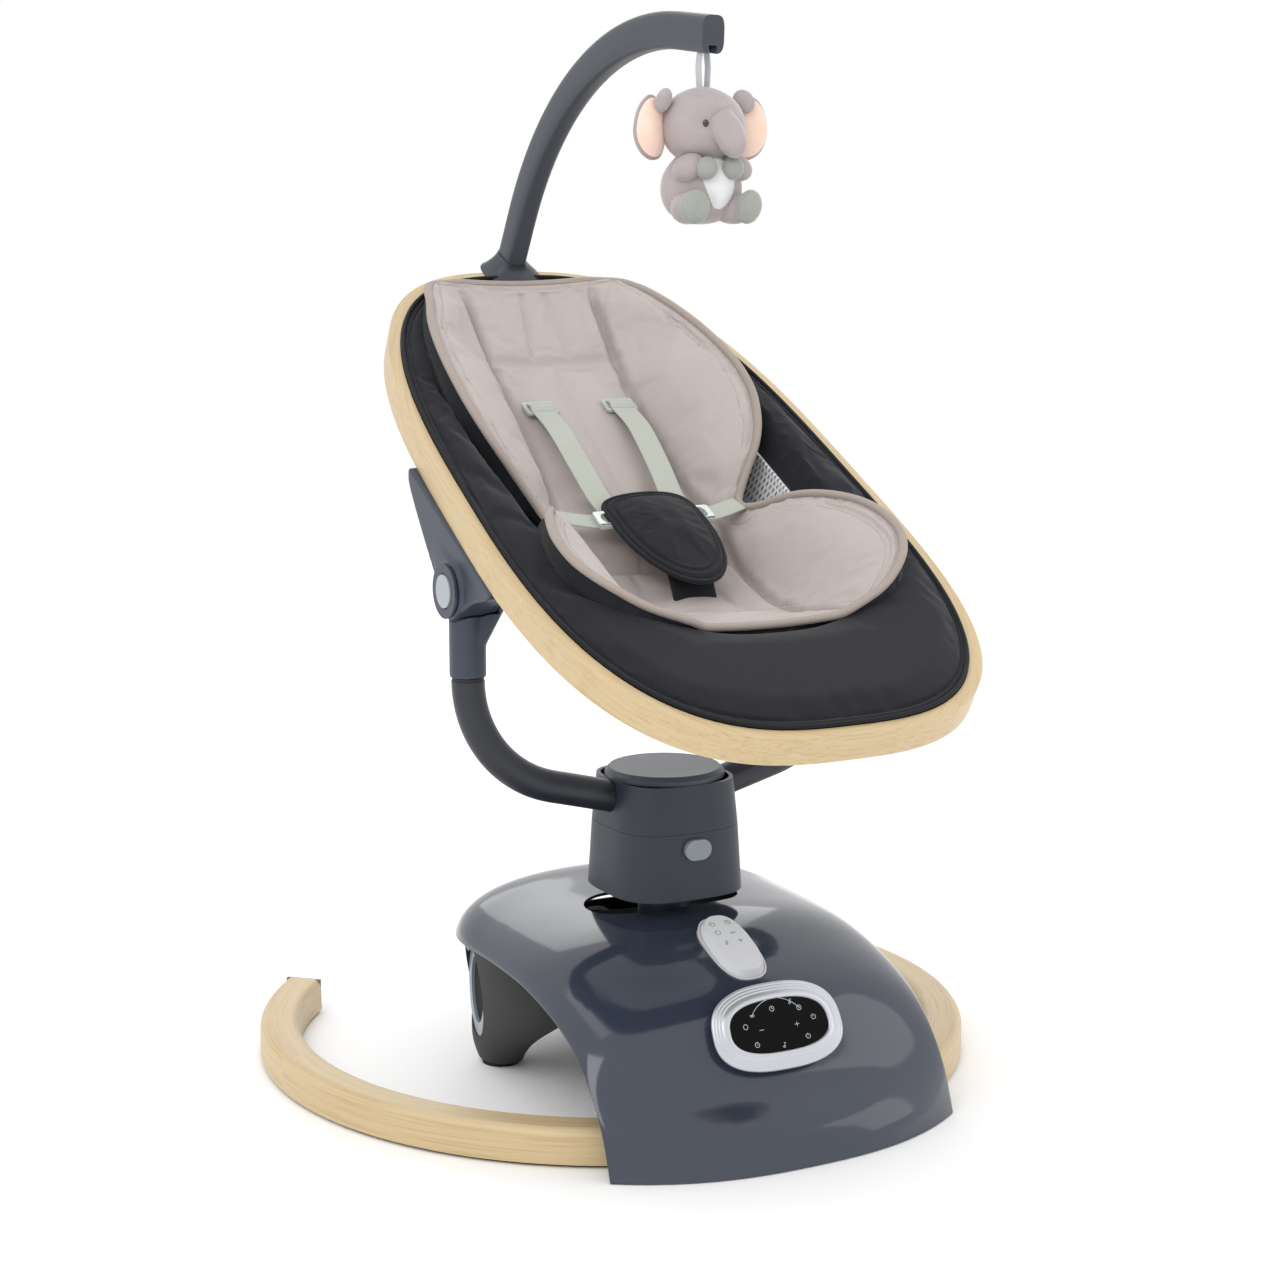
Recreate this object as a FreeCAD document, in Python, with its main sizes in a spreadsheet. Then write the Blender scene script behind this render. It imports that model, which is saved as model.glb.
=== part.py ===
import FreeCAD, Part
import math
import os

import Sketcher
from FreeCAD import Placement, Rotation, Vector

# A powered baby swing. A glossy base stands on a wooden floor ring. A swing arm inside the
# base turns about an upright shaft at the back and carries a neck, which sways in a slot.
# A bent tube on the neck turns about it and holds a reclining seat between two hubs.
# Frame: Z up, floor at Z 0, the child's feet towards -Y, the neck's axis at X 0.

os.makedirs("parts", exist_ok=True)
doc = FreeCAD.newDocument("BabySwing")
sheet = doc.addObject("Spreadsheet::Sheet", "sizes")

SIZES = [
    # whole object
    ("neck_y", -14, "place of the neck axis, so that the whole is centred on the origin"),
    ("gap", 0.3, "clearance between pieces that move or are assembled"),
    ("running_fit", 0.05, "radial clearance of a shaft in its bore"),
    # wooden floor ring
    ("ring_radius", 345, "outer radius of the floor ring"),
    ("ring_width", 38, "width of the ring's wood"),
    ("ring_height", 32, "height of the ring's wood"),
    ("ring_back", 108.8, "distance of the ring's centre behind the neck axis"),
    ("ring_sweep", 264, "angle that the ring runs round"),
    ("ring_round", 9, "rounding of the ring's upper edges"),
    ("grip_height", 3, "thickness of the rubber under the ring"),
    ("grip_inset", 5, "how far the rubber stays inside the wood"),
    ("cap_length", 4, "thickness of the ring's end caps"),
    # base shell
    ("shell_half", 176, "half the width of the base shell"),
    ("shell_front", 275, "reach of the base shell in front of the neck axis"),
    ("shell_rear", 190, "reach of the base shell behind the neck axis"),
    ("shell_top", 170.5, "height of the base shell's plateau"),
    ("shell_rim", 130, "height of the base shell's lower rim at the back"),
    ("shell_wall", 3, "wall of the base shell"),
    ("skirt_lift", 1, "gap between the shell's front edge and the floor"),
    ("disc_radius", 118, "radius of the flat disc on the plateau"),
    ("disc_back", 46.7, "distance of the disc's centre behind the neck axis"),
    # underbody and its two legs
    ("body_wall", 3, "wall of the underbody"),
    ("leg_top", 122, "height of the underbody's upper edge"),
    ("leg_foot", 5, "height of the rubber feet"),
    ("tub_floor", 66, "height of the underbody's floor between the legs"),
    ("tub_half", 92, "half the width of the underbody's tub"),
    ("tub_front", 78, "reach of the tub in front of the neck axis"),
    ("tub_rear", 176, "reach of the tub behind the neck axis"),
    # swing pivot
    ("pivot_back", 140, "distance from the neck axis to the swing shaft"),
    ("shaft_radius", 9, "radius of the swing shaft"),
    ("bearing_radius", 15, "outer radius of the swing bearings"),
    ("bearing_height", 9, "height of one swing bearing"),
    ("arm_low", 96, "height of the swing arm's underside"),
    ("arm_thick", 18, "thickness of the swing arm"),
    ("stalk_radius", 25, "radius of the stalk under the neck"),
    ("slot_half", 37, "half the width of the slot that the stalk sways in"),
    ("slot_angle", 17, "angle from the slot's middle to the centre of its end"),
    # neck
    ("neck_low", 185, "height of the neck's lower rim"),
    ("neck_seam", 247, "height of the seam where the seat turns"),
    ("neck_top", 291, "height of the neck's shoulder"),
    ("neck_half", 65, "half the width of the neck at its lower rim"),
    ("seam_half", 61.5, "half the width of the neck at the seam"),
    ("top_half", 57.5, "half the width of the neck at its shoulder"),
    ("neck_wall", 3.5, "wall of the neck's housings"),
    ("cap_radius", 56, "radius of the disc on top of the neck"),
    ("cap_height", 8, "height of the disc on top of the neck"),
    ("spindle_radius", 14, "radius of the steel spindle that the seat turns on"),
    ("key_width", 27, "width of the neck's release button"),
    ("key_height", 19, "height of the neck's release button"),
    ("key_z", 232, "height of the neck's release button above the floor"),
    ("key_depth", 12, "depth of the neck's release button"),
    # bent tube
    ("tube_radius", 15, "radius of the bent tube"),
    ("tube_wall", 2, "wall of the bent tube"),
    ("tube_half", 200, "distance of the tube's upright ends from the middle"),
    ("tube_low", 261, "height where the tube's two slopes would meet"),
    ("tube_corner", 313, "height where a slope would meet its upright end"),
    ("tube_end", 398, "height of the tube's ends"),
    ("tube_bend", 110, "radius of the tube's large bends"),
    ("tube_dip", 150, "radius of the tube's middle bend"),
    ("collar_height", 3, "height of the dark collar on each tube end"),
    # recline hubs
    ("hub_z", 480, "height of the recline axis"),
    ("hub_radius", 27, "radius of the recline hubs"),
    ("hub_out", 220, "distance of a hub's outer face from the middle"),
    ("hub_in", 177, "distance of a hub's inner face from the middle"),
    ("stem_radius", 16.5, "radius of the stems under the hubs"),
    ("ear_thick", 9, "thickness of the ear inside each hub"),
    ("ear_radius", 22, "radius of the ear inside each hub"),
    ("pin_radius", 6, "radius of the recline pins"),
    ("button_radius", 15, "radius of the round recline buttons"),
    ("button_length", 11, "length of the round recline buttons"),
    ("button_proud", 3.5, "how far a recline button stands out of its hub"),
    ("button_travel", 4, "travel of a recline button"),
    ("bezel_radius", 24.5, "outer radius of the ring round a recline button"),
    ("bezel_thick", 2.5, "thickness of the ring round a recline button"),
    # seat frame, in the seat's own frame
    ("seat_tilt", 28.22, "angle of the seat above the level"),
    ("seat_y", 3.2, "distance of the seat's middle behind the neck axis"),
    ("seat_z", 563, "height of the seat's middle"),
    ("seat_long", 364, "half the length of the opening in the wooden frame"),
    ("seat_wide", 200, "half the width of the opening in the wooden frame"),
    ("wood_thick", 11, "thickness of the frame's wood"),
    ("wood_high", 28, "height of the frame's wood"),
    ("wood_bow", 7, "rise of the frame's ends above its middle"),
    ("border_clear", 0.6, "gap between the wood and the padded border"),
    ("border_high", 6, "crown of the padded border above the wood"),
    ("border_deep", 24, "depth of the padded border below the wood"),
    ("basin_wall", 4, "wall of the mesh basin"),
    ("basin_deep", 144, "depth of the mesh basin"),
    ("pad_thick", 14, "thickness of the infant insert"),
    ("blade_out", 216, "distance of a bracket's outer side from the middle"),
    ("blade_in", 186, "distance of a bracket's inner side from the middle"),
    ("blade_shift", -3.5, "how far the screws stand outside a bracket's middle"),
    # toy bar and toy
    ("bar_wide", 22, "width of the toy bar"),
    ("bar_deep", 33, "depth of the toy bar's section"),
    ("bar_bend", 365, "radius of the toy bar's bend"),
    ("bar_high", 392, "height of the toy bar's tip above the seat's plane"),
    ("bar_tip", 110, "distance of the toy bar's tip from the seat's middle"),
    ("bar_lift", 24, "height of the toy bar's foot above the seat's plane"),
    ("hook_radius", 1.8, "radius of the hook in the toy bar's tip"),
    ("toy_drop", 69, "distance from the hook down to the middle of the toy's head"),
    # control panel and remote
    ("panel_tilt", 60, "slope of the control panel"),
    ("panel_wide", 65, "half the width of the control panel's ring"),
    ("panel_tall", 39, "half the height of the control panel's ring"),
    ("glass_wide", 49, "half the width of the panel's glass"),
    ("glass_tall", 29, "half the height of the panel's glass"),
    ("remote_tilt", 24, "slope of the remote's dock"),
    ("remote_wide", 22, "half the width of the remote"),
    ("remote_tall", 41, "half the length of the remote"),
    ("remote_thick", 11, "thickness of the remote"),
    ("panel_back", -203, "place of the control panel's middle along the base"),
    ("panel_up", 104, "height of the control panel's middle"),
    ("dock_back", -126, "place of the remote's dock along the base"),
    ("dock_up", 153.5, "height of the remote's dock"),
    ("inlet_wide", 12, "width of the power inlet"),
    ("inlet_z", 78, "height of the power inlet's underside"),
    ("inlet_radius", 2.8, "radius of the power inlet's bore"),
]
for row, (alias, value, meaning) in enumerate(SIZES, 1):
    sheet.set(f"A{row}", meaning)
    sheet.set(f"B{row}", str(value))
    sheet.setAlias(f"B{row}", alias)
doc.recompute()

NODES = []
SIDES = (("left", -1), ("right", 1))
SCREW_PLACES = (-78, 58)


def size(alias):
    return float(sheet.get(alias))


def gather(label, pieces):
    """Make one node of like pieces, each its own solid."""
    group = doc.addObject("Part::Compound", label)
    group.Links = pieces
    for piece in pieces:
        NODES.remove(piece)
        piece.Label = f"{piece.Label}_single"
    return keep(group, label)


def keep(piece, label):
    piece.Label = label
    NODES.append(piece)
    return piece


def at_neck(piece, across="0", back="0", up="0"):
    """Put a piece at a place measured from the foot of the neck's axis."""
    piece.setExpression("Placement.Base.x", across)
    piece.setExpression("Placement.Base.y", f"sizes.neck_y + ({back})")
    piece.setExpression("Placement.Base.z", up)
    return piece


def on_seat(piece):
    """Put a piece that is drawn in the seat's own frame on the tilted seat."""
    piece.Placement = Placement(Vector(0, 0, 0), Rotation(Vector(1, 0, 0), size("seat_tilt")))
    at_neck(piece, "0", "sizes.seat_y", "sizes.seat_z")
    return piece


def free_shape(label, shape):
    piece = doc.addObject("Part::Feature", label)
    solid = shape.Solids[0] if len(shape.Solids) == 1 else shape
    piece.Shape = solid if solid.Placement.isIdentity() else Part.makeCompound([solid])
    return keep(piece, label)


def fixed(label, shape):
    """A piece of free shape, drawn from the foot of the neck's axis."""
    return at_neck(free_shape(label, shape))


def seated(label, shape):
    """A piece of free shape, drawn in the seat's own frame."""
    return on_seat(free_shape(label, shape))


# ---------------------------------------------------------------- parametric bodies


def origin_plane(body, role):
    return next(item for item in body.Origin.OriginFeatures if item.Role == role)


def new_body(label):
    return keep(doc.addObject("PartDesign::Body", label), label)


def new_sketch(body, name, role="XY_Plane", lift=None):
    sketch = body.newObject("Sketcher::SketchObject", name)
    sketch.AttachmentSupport = (origin_plane(body, role), [""])
    sketch.MapMode = "FlatFace"
    if lift:
        sketch.setExpression("AttachmentOffset.Base.z", lift)
    return sketch


def draw_circle(sketch, radius):
    """A circle about the sketch's origin, its radius bound to an expression."""
    ring = sketch.addGeometry(Part.Circle(Vector(0, 0, 0), Vector(0, 0, 1), 10))
    sketch.addConstraint(Sketcher.Constraint("Coincident", ring, 3, -1, 1))
    rule = sketch.addConstraint(Sketcher.Constraint("Radius", ring, 10))
    sketch.setExpression(f"Constraints[{rule}]", radius)


def draw_outline(sketch, corners):
    """A closed outline whose corners are pairs of expressions from the sketch's origin."""
    count = len(corners)
    turns = [2 * math.pi * i / count for i in range(count)]
    spots = [Vector(100 * math.cos(a), 100 * math.sin(a), 0) for a in turns]
    for i in range(count):
        sketch.addGeometry(Part.LineSegment(spots[i], spots[(i + 1) % count]))
    for i in range(count):
        sketch.addConstraint(Sketcher.Constraint("Coincident", i, 2, (i + 1) % count, 1))
    for i, corner in enumerate(corners):
        for kind, place, start in zip(("DistanceX", "DistanceY"), corner, spots[i]):
            rule = sketch.addConstraint(Sketcher.Constraint(kind, -1, 1, i, 1, start))
            sketch.setExpression(f"Constraints[{rule}]", place)


def revolve(body, sketch, name, angle=None):
    turn = body.newObject("PartDesign::Revolution", name)
    turn.Profile = sketch
    turn.ReferenceAxis = (sketch, ["V_Axis"])
    turn.Angle = 360
    if angle:
        turn.setExpression("Angle", angle)
    return turn


def pad(body, sketch, name, length, midplane=False):
    block = body.newObject("PartDesign::Pad", name)
    block.Profile = sketch
    block.Length = 10
    block.setExpression("Length", length)
    block.Midplane = midplane
    return block


def turned_piece(label, corners, angle=None):
    """A turned piece: an outline in radius and height, turned about the upright axis."""
    body = new_body(label)
    sketch = new_sketch(body, label + "_profile", "XZ_Plane")
    draw_outline(sketch, corners)
    revolve(body, sketch, label + "_turn", angle)
    return body


def ring_corners(inner, outer, low, high):
    return [(inner, low), (outer, low), (outer, high), (inner, high)]


# ---------------------------------------------------------------- primitives


def cylinder(label, radius, height, role=None):
    piece = doc.addObject("Part::Cylinder", label)
    piece.setExpression("Radius", radius)
    piece.setExpression("Height", height)
    if role == "along_x":
        piece.Placement = Placement(Vector(0, 0, 0), Rotation(Vector(0, 1, 0), 90))
    return piece


def box(label, length, width, height):
    piece = doc.addObject("Part::Box", label)
    piece.setExpression("Length", length)
    piece.setExpression("Width", width)
    piece.setExpression("Height", height)
    return piece


def cut(label, base, tool):
    piece = doc.addObject("Part::Cut", label)
    piece.Base = base
    piece.Tool = tool
    return piece


# ---------------------------------------------------------------- free shapes


def loop(points):
    """A smooth closed wire through points."""
    curve = Part.BSplineCurve()
    curve.interpolate(points, PeriodicFlag=True)
    return Part.Wire(curve.toShape())


def oval_points(long, wide, power, taper=0.0, shift=0.0, height=0.0, count=40):
    """Points of a rounded oblong: long runs along Y, wide along X, taper widens the foot."""
    points = []
    for i in range(count):
        turn = 2 * math.pi * i / count
        c, s = math.cos(turn), math.sin(turn)
        along = math.copysign(abs(s) ** (2 / power), s)
        across = math.copysign(abs(c) ** (2 / power), c)
        points.append(Vector(wide * (1 + taper * along) * across, shift + long * along, height))
    return points


def oval(long, wide, power, taper=0.0, shift=0.0, height=0.0):
    return loop(oval_points(long, wide, power, taper, shift, height))


def plate(wire, thick):
    """A flat plate over a closed wire, thickened upwards."""
    return Part.Face(wire).extrude(Vector(0, 0, thick))


def loft(wires):
    return Part.makeLoft(wires, True, False)


def rounded_path(points, radii):
    """A wire of straight runs, with a tangent arc at each inner point."""
    edges = []
    start = points[0]
    for before, corner, after, radius in zip(points, points[1:], points[2:], radii):
        back = (before - corner).normalize()
        onward = (after - corner).normalize()
        half = back.getAngle(onward) / 2
        reach = radius / math.tan(half)
        first = corner + back * reach
        last = corner + onward * reach
        middle_line = (back + onward).normalize()
        middle = corner + middle_line * (radius / math.sin(half) - radius)
        edges.append(Part.LineSegment(start, first).toShape())
        edges.append(Part.Arc(first, middle, last).toShape())
        start = last
    edges.append(Part.LineSegment(start, points[-1]).toShape())
    return Part.Wire(edges)


def pipe(path, section):
    return path.makePipeShell([section], True, False)


def surface_solid(upper, lower):
    """A closed solid between two grids of points of the same size."""
    skins = []
    for rows in (upper, lower):
        skin = Part.BSplineSurface()
        skin.interpolate(rows)
        skins.append(skin)
    faces = [skin.toShape() for skin in skins]
    for side in range(4):
        rims = []
        for skin in skins:
            u0, u1, v0, v1 = skin.bounds()
            rim = (skin.uIso(u0), skin.uIso(u1), skin.vIso(v0), skin.vIso(v1))[side]
            rims.append(rim.toShape())
        faces.append(Part.makeRuledSurface(rims[0], rims[1]))
    shell = Part.Shell(faces)
    shell.sewShape()
    solid = Part.Solid(shell)
    if solid.Volume < 0:
        solid.reverse()
    return solid


def thicken_down(rows, thick):
    """The grid of points that lies a wall's thickness inside a grid."""
    count_u, count_v = len(rows), len(rows[0])
    inside = []
    for i in range(count_u):
        line = []
        for j in range(count_v):
            along = rows[min(i + 1, count_u - 1)][j] - rows[max(i - 1, 0)][j]
            across = rows[i][min(j + 1, count_v - 1)] - rows[i][max(j - 1, 0)]
            normal = across.cross(along).normalize()
            if normal.z < 0:
                normal = -normal
            line.append(rows[i][j] - normal * thick)
        inside.append(line)
    return inside


def smooth_step(t):
    t = max(0.0, min(1.0, t))
    return t * t * (3 - 2 * t)


# ---------------------------------------------------------------- floor ring


def floor_ring():
    half_turn = "sizes.ring_sweep"
    inner = "sizes.ring_radius - sizes.ring_width"
    low = "sizes.grip_height"
    high = "sizes.grip_height + sizes.ring_height"
    ring = turned_piece("floor_ring", ring_corners(inner, "sizes.ring_radius", low, high), half_turn)
    doc.recompute()
    upper = [
        f"Edge{i}"
        for i, edge in enumerate(ring.Shape.Edges, 1)
        if abs(edge.BoundBox.ZMin - edge.BoundBox.ZMax) < 0.01
        and edge.BoundBox.ZMin > size("grip_height") + 1
        and edge.Length > size("ring_width") * 2
    ]
    turned_wood = ring.Tip
    rounding = ring.newObject("PartDesign::Fillet", "ring_rounding")
    rounding.Base = (turned_wood, upper)
    rounding.setExpression("Radius", "sizes.ring_round")
    ring.Tip = rounding
    inset = "sizes.grip_inset"
    grip = turned_piece(
        "ring_grip_strip",
        ring_corners(f"{inner} + {inset}", f"sizes.ring_radius - {inset}", "0", low),
        half_turn,
    )
    start = Rotation(Vector(0, 0, 1), 270 - size("ring_sweep") / 2)
    for piece in (ring, grip):
        piece.Placement = Placement(Vector(0, 0, 0), start)
        at_neck(piece, "0", "sizes.ring_back")
    caps = []
    for side, sign in SIDES:
        cap = turned_piece(
            f"ring_end_cap_{side}",
            ring_corners(f"{inner} + 1", "sizes.ring_radius - 1", low, f"{high} - 1"),
            "sizes.cap_length / sizes.ring_radius * 180 / pi",
        )
        cap_turn = math.degrees(size("cap_length") / size("ring_radius"))
        turn = 270 + sign * size("ring_sweep") / 2
        if sign < 0:
            turn -= cap_turn
        cap.Placement = Placement(Vector(0, 0, 0), Rotation(Vector(0, 0, 1), turn))
        caps.append(at_neck(cap, "0", "sizes.ring_back"))
    gather("ring_end_caps", caps)


# ---------------------------------------------------------------- base shell


def shell_ribs():
    """The base shell's outer face: ribs from the left edge over the middle to the right."""
    front, rear = size("shell_front"), size("shell_rear")
    top, rim, half = size("shell_top"), size("shell_rim"), size("shell_half")
    lift = size("skirt_lift")
    # For each rib: the middle's y and z, the edge's y and z, and how square its shoulder is.
    ribs = [
        (-front, lift, -227, lift, 1.0),
        (-front + 6, 20, -222, 16, 1.05),
        (-front + 19, 37, -215, 34, 1.1),
        (-front + 37, 50, -206, 50, 1.2),
        (-221, 66, -194, 66, 1.3),
        (-206, 93, -180, 81, 1.4),
        (-189, 119, -163, 94, 1.5),
        (-165, 137, -143, 104, 1.55),
        (-128, top - 17.5, -115, 114, 1.6),
        (-92, top - 6, -86, 121, 1.65),
        (-60, top - 0.8, -58, 126, 1.7),
        (-20, top, -22, rim - 1, 1.8),
        (40, top, 14, rim, 1.9),
        (100, top, 36, rim, 2.0),
        (rear - 45, top - 1.5, 46, rim, 2.05),
        (rear - 21, top - 10, 52, rim, 2.1),
        (rear - 6, top - 24, 56, rim, 2.15),
        (rear, rim, 60, rim, 2.2),
    ]
    rows = []
    steps = 20
    for mid_y, mid_z, edge_y, edge_z, square in ribs:
        row = []
        for j in range(steps + 1):
            across = math.sin(math.pi / 2 * (2 * j / steps - 1))
            fall = max(0.0, 1 - abs(across) ** 2.5) ** (1 / square)
            row.append(
                Vector(half * across, edge_y + (mid_y - edge_y) * fall, edge_z + (mid_z - edge_z) * fall)
            )
        rows.append(row)
    return rows


def arc_slot(half_width, low, high, radius, end_angle):
    """A slot about the swing shaft, with round ends, as an upright block."""
    pivot = Vector(0, size("pivot_back"), low)

    def spot(distance, angle):
        turn = math.radians(angle)
        return pivot + Vector(distance * math.sin(turn), -distance * math.cos(turn), 0)

    outer, inner = radius + half_width, radius - half_width
    right = spot(radius, end_angle + math.degrees(half_width / radius))
    left = spot(radius, -end_angle - math.degrees(half_width / radius))
    edges = [
        Part.Arc(spot(outer, -end_angle), spot(outer, 0), spot(outer, end_angle)).toShape(),
        Part.Arc(spot(outer, end_angle), right, spot(inner, end_angle)).toShape(),
        Part.Arc(spot(inner, end_angle), spot(inner, 0), spot(inner, -end_angle)).toShape(),
        Part.Arc(spot(inner, -end_angle), left, spot(outer, -end_angle)).toShape(),
    ]
    return Part.Face(Part.Wire(edges)).extrude(Vector(0, 0, high - low))


def slope_place(name):
    """The plane of the control panel or the dock: its middle and its slope."""
    tilt = {"panel": "panel_tilt", "dock": "remote_tilt"}[name]
    middle = Vector(0, size(name + "_back"), size(name + "_up"))
    return Placement(middle, Rotation(Vector(1, 0, 0), size(tilt)))


def sloped(shape, name):
    """Lay a shape drawn flat at the origin on one of the shell's two sloped planes."""
    turned = shape.copy()
    turned.Placement = slope_place(name)
    return turned


def on_slope(label, name, shape):
    """A piece drawn flat at the origin and placed on one of the shell's sloped planes."""
    piece = free_shape(label, shape)
    piece.Placement = Placement(Vector(0, 0, 0), slope_place(name).Rotation)
    return at_neck(piece, "0", f"sizes.{name}_back", f"sizes.{name}_up")


def flat_oval(wide, tall, low, thick, power=2.6):
    return plate(oval(tall, wide, power, -0.03, 0, low), thick)


def base_shell():
    outer = shell_ribs()
    solid = surface_solid(outer, thicken_down(outer, size("shell_wall")))
    slot = arc_slot(size("slot_half"), 120, 200, size("pivot_back"), size("slot_angle"))
    gap = size("gap")
    panel_hole = flat_oval(size("panel_wide") - 6 + gap, size("panel_tall") - 6 + gap, -30, 60)
    dock_hole = flat_oval(size("remote_wide") + 2 + gap, size("remote_tall") + 2 + gap, -20, 40)
    for tool in (slot, sloped(panel_hole, "panel"), sloped(dock_hole, "dock")):
        solid = solid.cut(tool)
    fixed("base_shell", solid)


def control_panel():
    wide, tall = size("panel_wide"), size("panel_tall")
    glass_wide, glass_tall = size("glass_wide"), size("glass_tall")
    gap = size("gap")
    rim = loft([oval(tall, wide, 2.6, -0.03, 0, 4.5), oval(tall - 7, wide - 7, 2.6, -0.03, 0, 11)])
    neck = flat_oval(wide - 6, tall - 6, -12, 17)
    hole = flat_oval(glass_wide + gap, glass_tall + gap, -20, 60)
    floor = flat_oval(glass_wide + 4, glass_tall + 4, -4, 2)
    on_slope("panel_ring", "panel", rim.fuse(neck).cut(hole).fuse(floor))
    on_slope("panel_glass", "panel", flat_oval(glass_wide, glass_tall, 4, 4))
    board = flat_oval(glass_wide - 4, glass_tall - 4, 0.6, 1.6)
    return on_slope("panel_board", "panel", board)


def remote_control():
    wide, tall, thick = size("remote_wide"), size("remote_tall"), size("remote_thick")
    tray = flat_oval(wide + 2, tall + 2, -6, 8).cut(flat_oval(wide + 0.5, tall + 0.5, -2, 9))
    on_slope("remote_dock", "dock", tray)
    sole = loft([oval(tall - 1, wide - 1, 2.6, -0.03, 0, -1.9), oval(tall, wide, 2.6, -0.03, 0, 2)])
    lid = loft([oval(tall, wide, 2.6, -0.03, 0, 2), oval(tall - 3, wide - 3, 2.6, -0.03, 0, thick - 2)])
    on_slope("remote", "dock", sole.fuse(lid))


# ---------------------------------------------------------------- underbody


def leg_loft(side, inset, low):
    """One leg as ovals stacked from the foot up to the underbody's rim."""
    top = size("leg_top")
    # Height, centre x and y, half width and half length of each section.
    sections = [
        (low, -127, 96, 20, 25),
        (30, -128, 86, 27, 42),
        (60, -125, 62, 35, 66),
        (92, -121, 45, 43, 95),
        (top + (3 if inset else 0), -114, 40, 52, 114),
    ]
    wires = []
    for height, x, y, wide, long in sections:
        points = oval_points(long - inset, wide - inset, 2.2, 0, 0, height, 24)
        wires.append(loop([Vector(side * -(x + p.x), y + p.y, p.z) for p in points]))
    return loft(wires)


def tub_block(inset, low, high):
    half, front, rear = size("tub_half"), size("tub_front"), size("tub_rear")
    long = (front + rear) / 2
    middle = (rear - front) / 2
    return plate(oval(long - inset, half + 20 - inset, 4, 0, middle, low), high - low)


def speaker_disc(tall, wide, near, far):
    """An oval disc drawn flat: its long side becomes upright on the leg."""
    return plate(oval(tall, wide, 2.1, 0.12, 0, near), far - near)


def speaker_place(sign):
    """The speaker's plane on the outer side of a leg: it faces out and a little back."""
    upright = Rotation(Vector(1, 0, 0), 90)
    outward = Rotation(Vector(0, 0, 1), 90 * sign + 7 * sign)
    return Placement(Vector(sign * 146, 86, 79), outward * upright)


def on_leg(label, sign, shape):
    piece = free_shape(label, shape)
    place = speaker_place(sign)
    piece.Placement = Placement(Vector(0, 0, 0), place.Rotation)
    return at_neck(piece, str(place.Base.x), str(place.Base.y), str(place.Base.z))


def underbody():
    wall, low = size("body_wall"), size("leg_foot")
    outer = tub_block(0, size("tub_floor") - wall, size("leg_top"))
    inner = tub_block(wall, size("tub_floor"), size("leg_top") + 3)
    for side, sign in SIDES:
        outer = outer.fuse(leg_loft(sign, 0, low))
        inner = inner.fuse(leg_loft(sign, wall, low + wall))
    inlet_wide = size("inlet_wide")
    inlet = Part.makeBox(inlet_wide, 20, 13, Vector(-inlet_wide / 2, size("tub_rear") - 10, size("inlet_z")))
    solid = outer.cut(inner).cut(inlet)
    for side, sign in SIDES:
        cover = speaker_disc(46, 27, -30, 30)
        cover.Placement = speaker_place(sign)
        solid = solid.cut(cover)
    fixed("underbody", solid)
    rings, grilles, drivers, feet = [], [], [], []
    for side, sign in SIDES:
        ring = speaker_disc(45.7, 26.7, -1, 9).cut(speaker_disc(33, 19, -5, 30))
        rings.append(on_leg(f"speaker_ring_{side}", sign, ring))
        grilles.append(on_leg(f"speaker_grille_{side}", sign, speaker_disc(32.7, 18.7, 2, 6)))
        basket = speaker_disc(30, 17, -2, 1.5).fuse(Part.makeCylinder(12, 16, Vector(0, 0, -18)))
        drivers.append(on_leg(f"speaker_driver_{side}", sign, basket))
        foot = turned_piece(f"rear_foot_{side}", ring_corners("0", "18", "0", "sizes.leg_foot"))
        feet.append(at_neck(foot, str(sign * 127), "96"))
    gather("speaker_rings", rings)
    gather("speaker_grilles", grilles)
    gather("speaker_drivers", drivers)
    gather("rear_feet", feet)


# ---------------------------------------------------------------- inside the base


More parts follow.
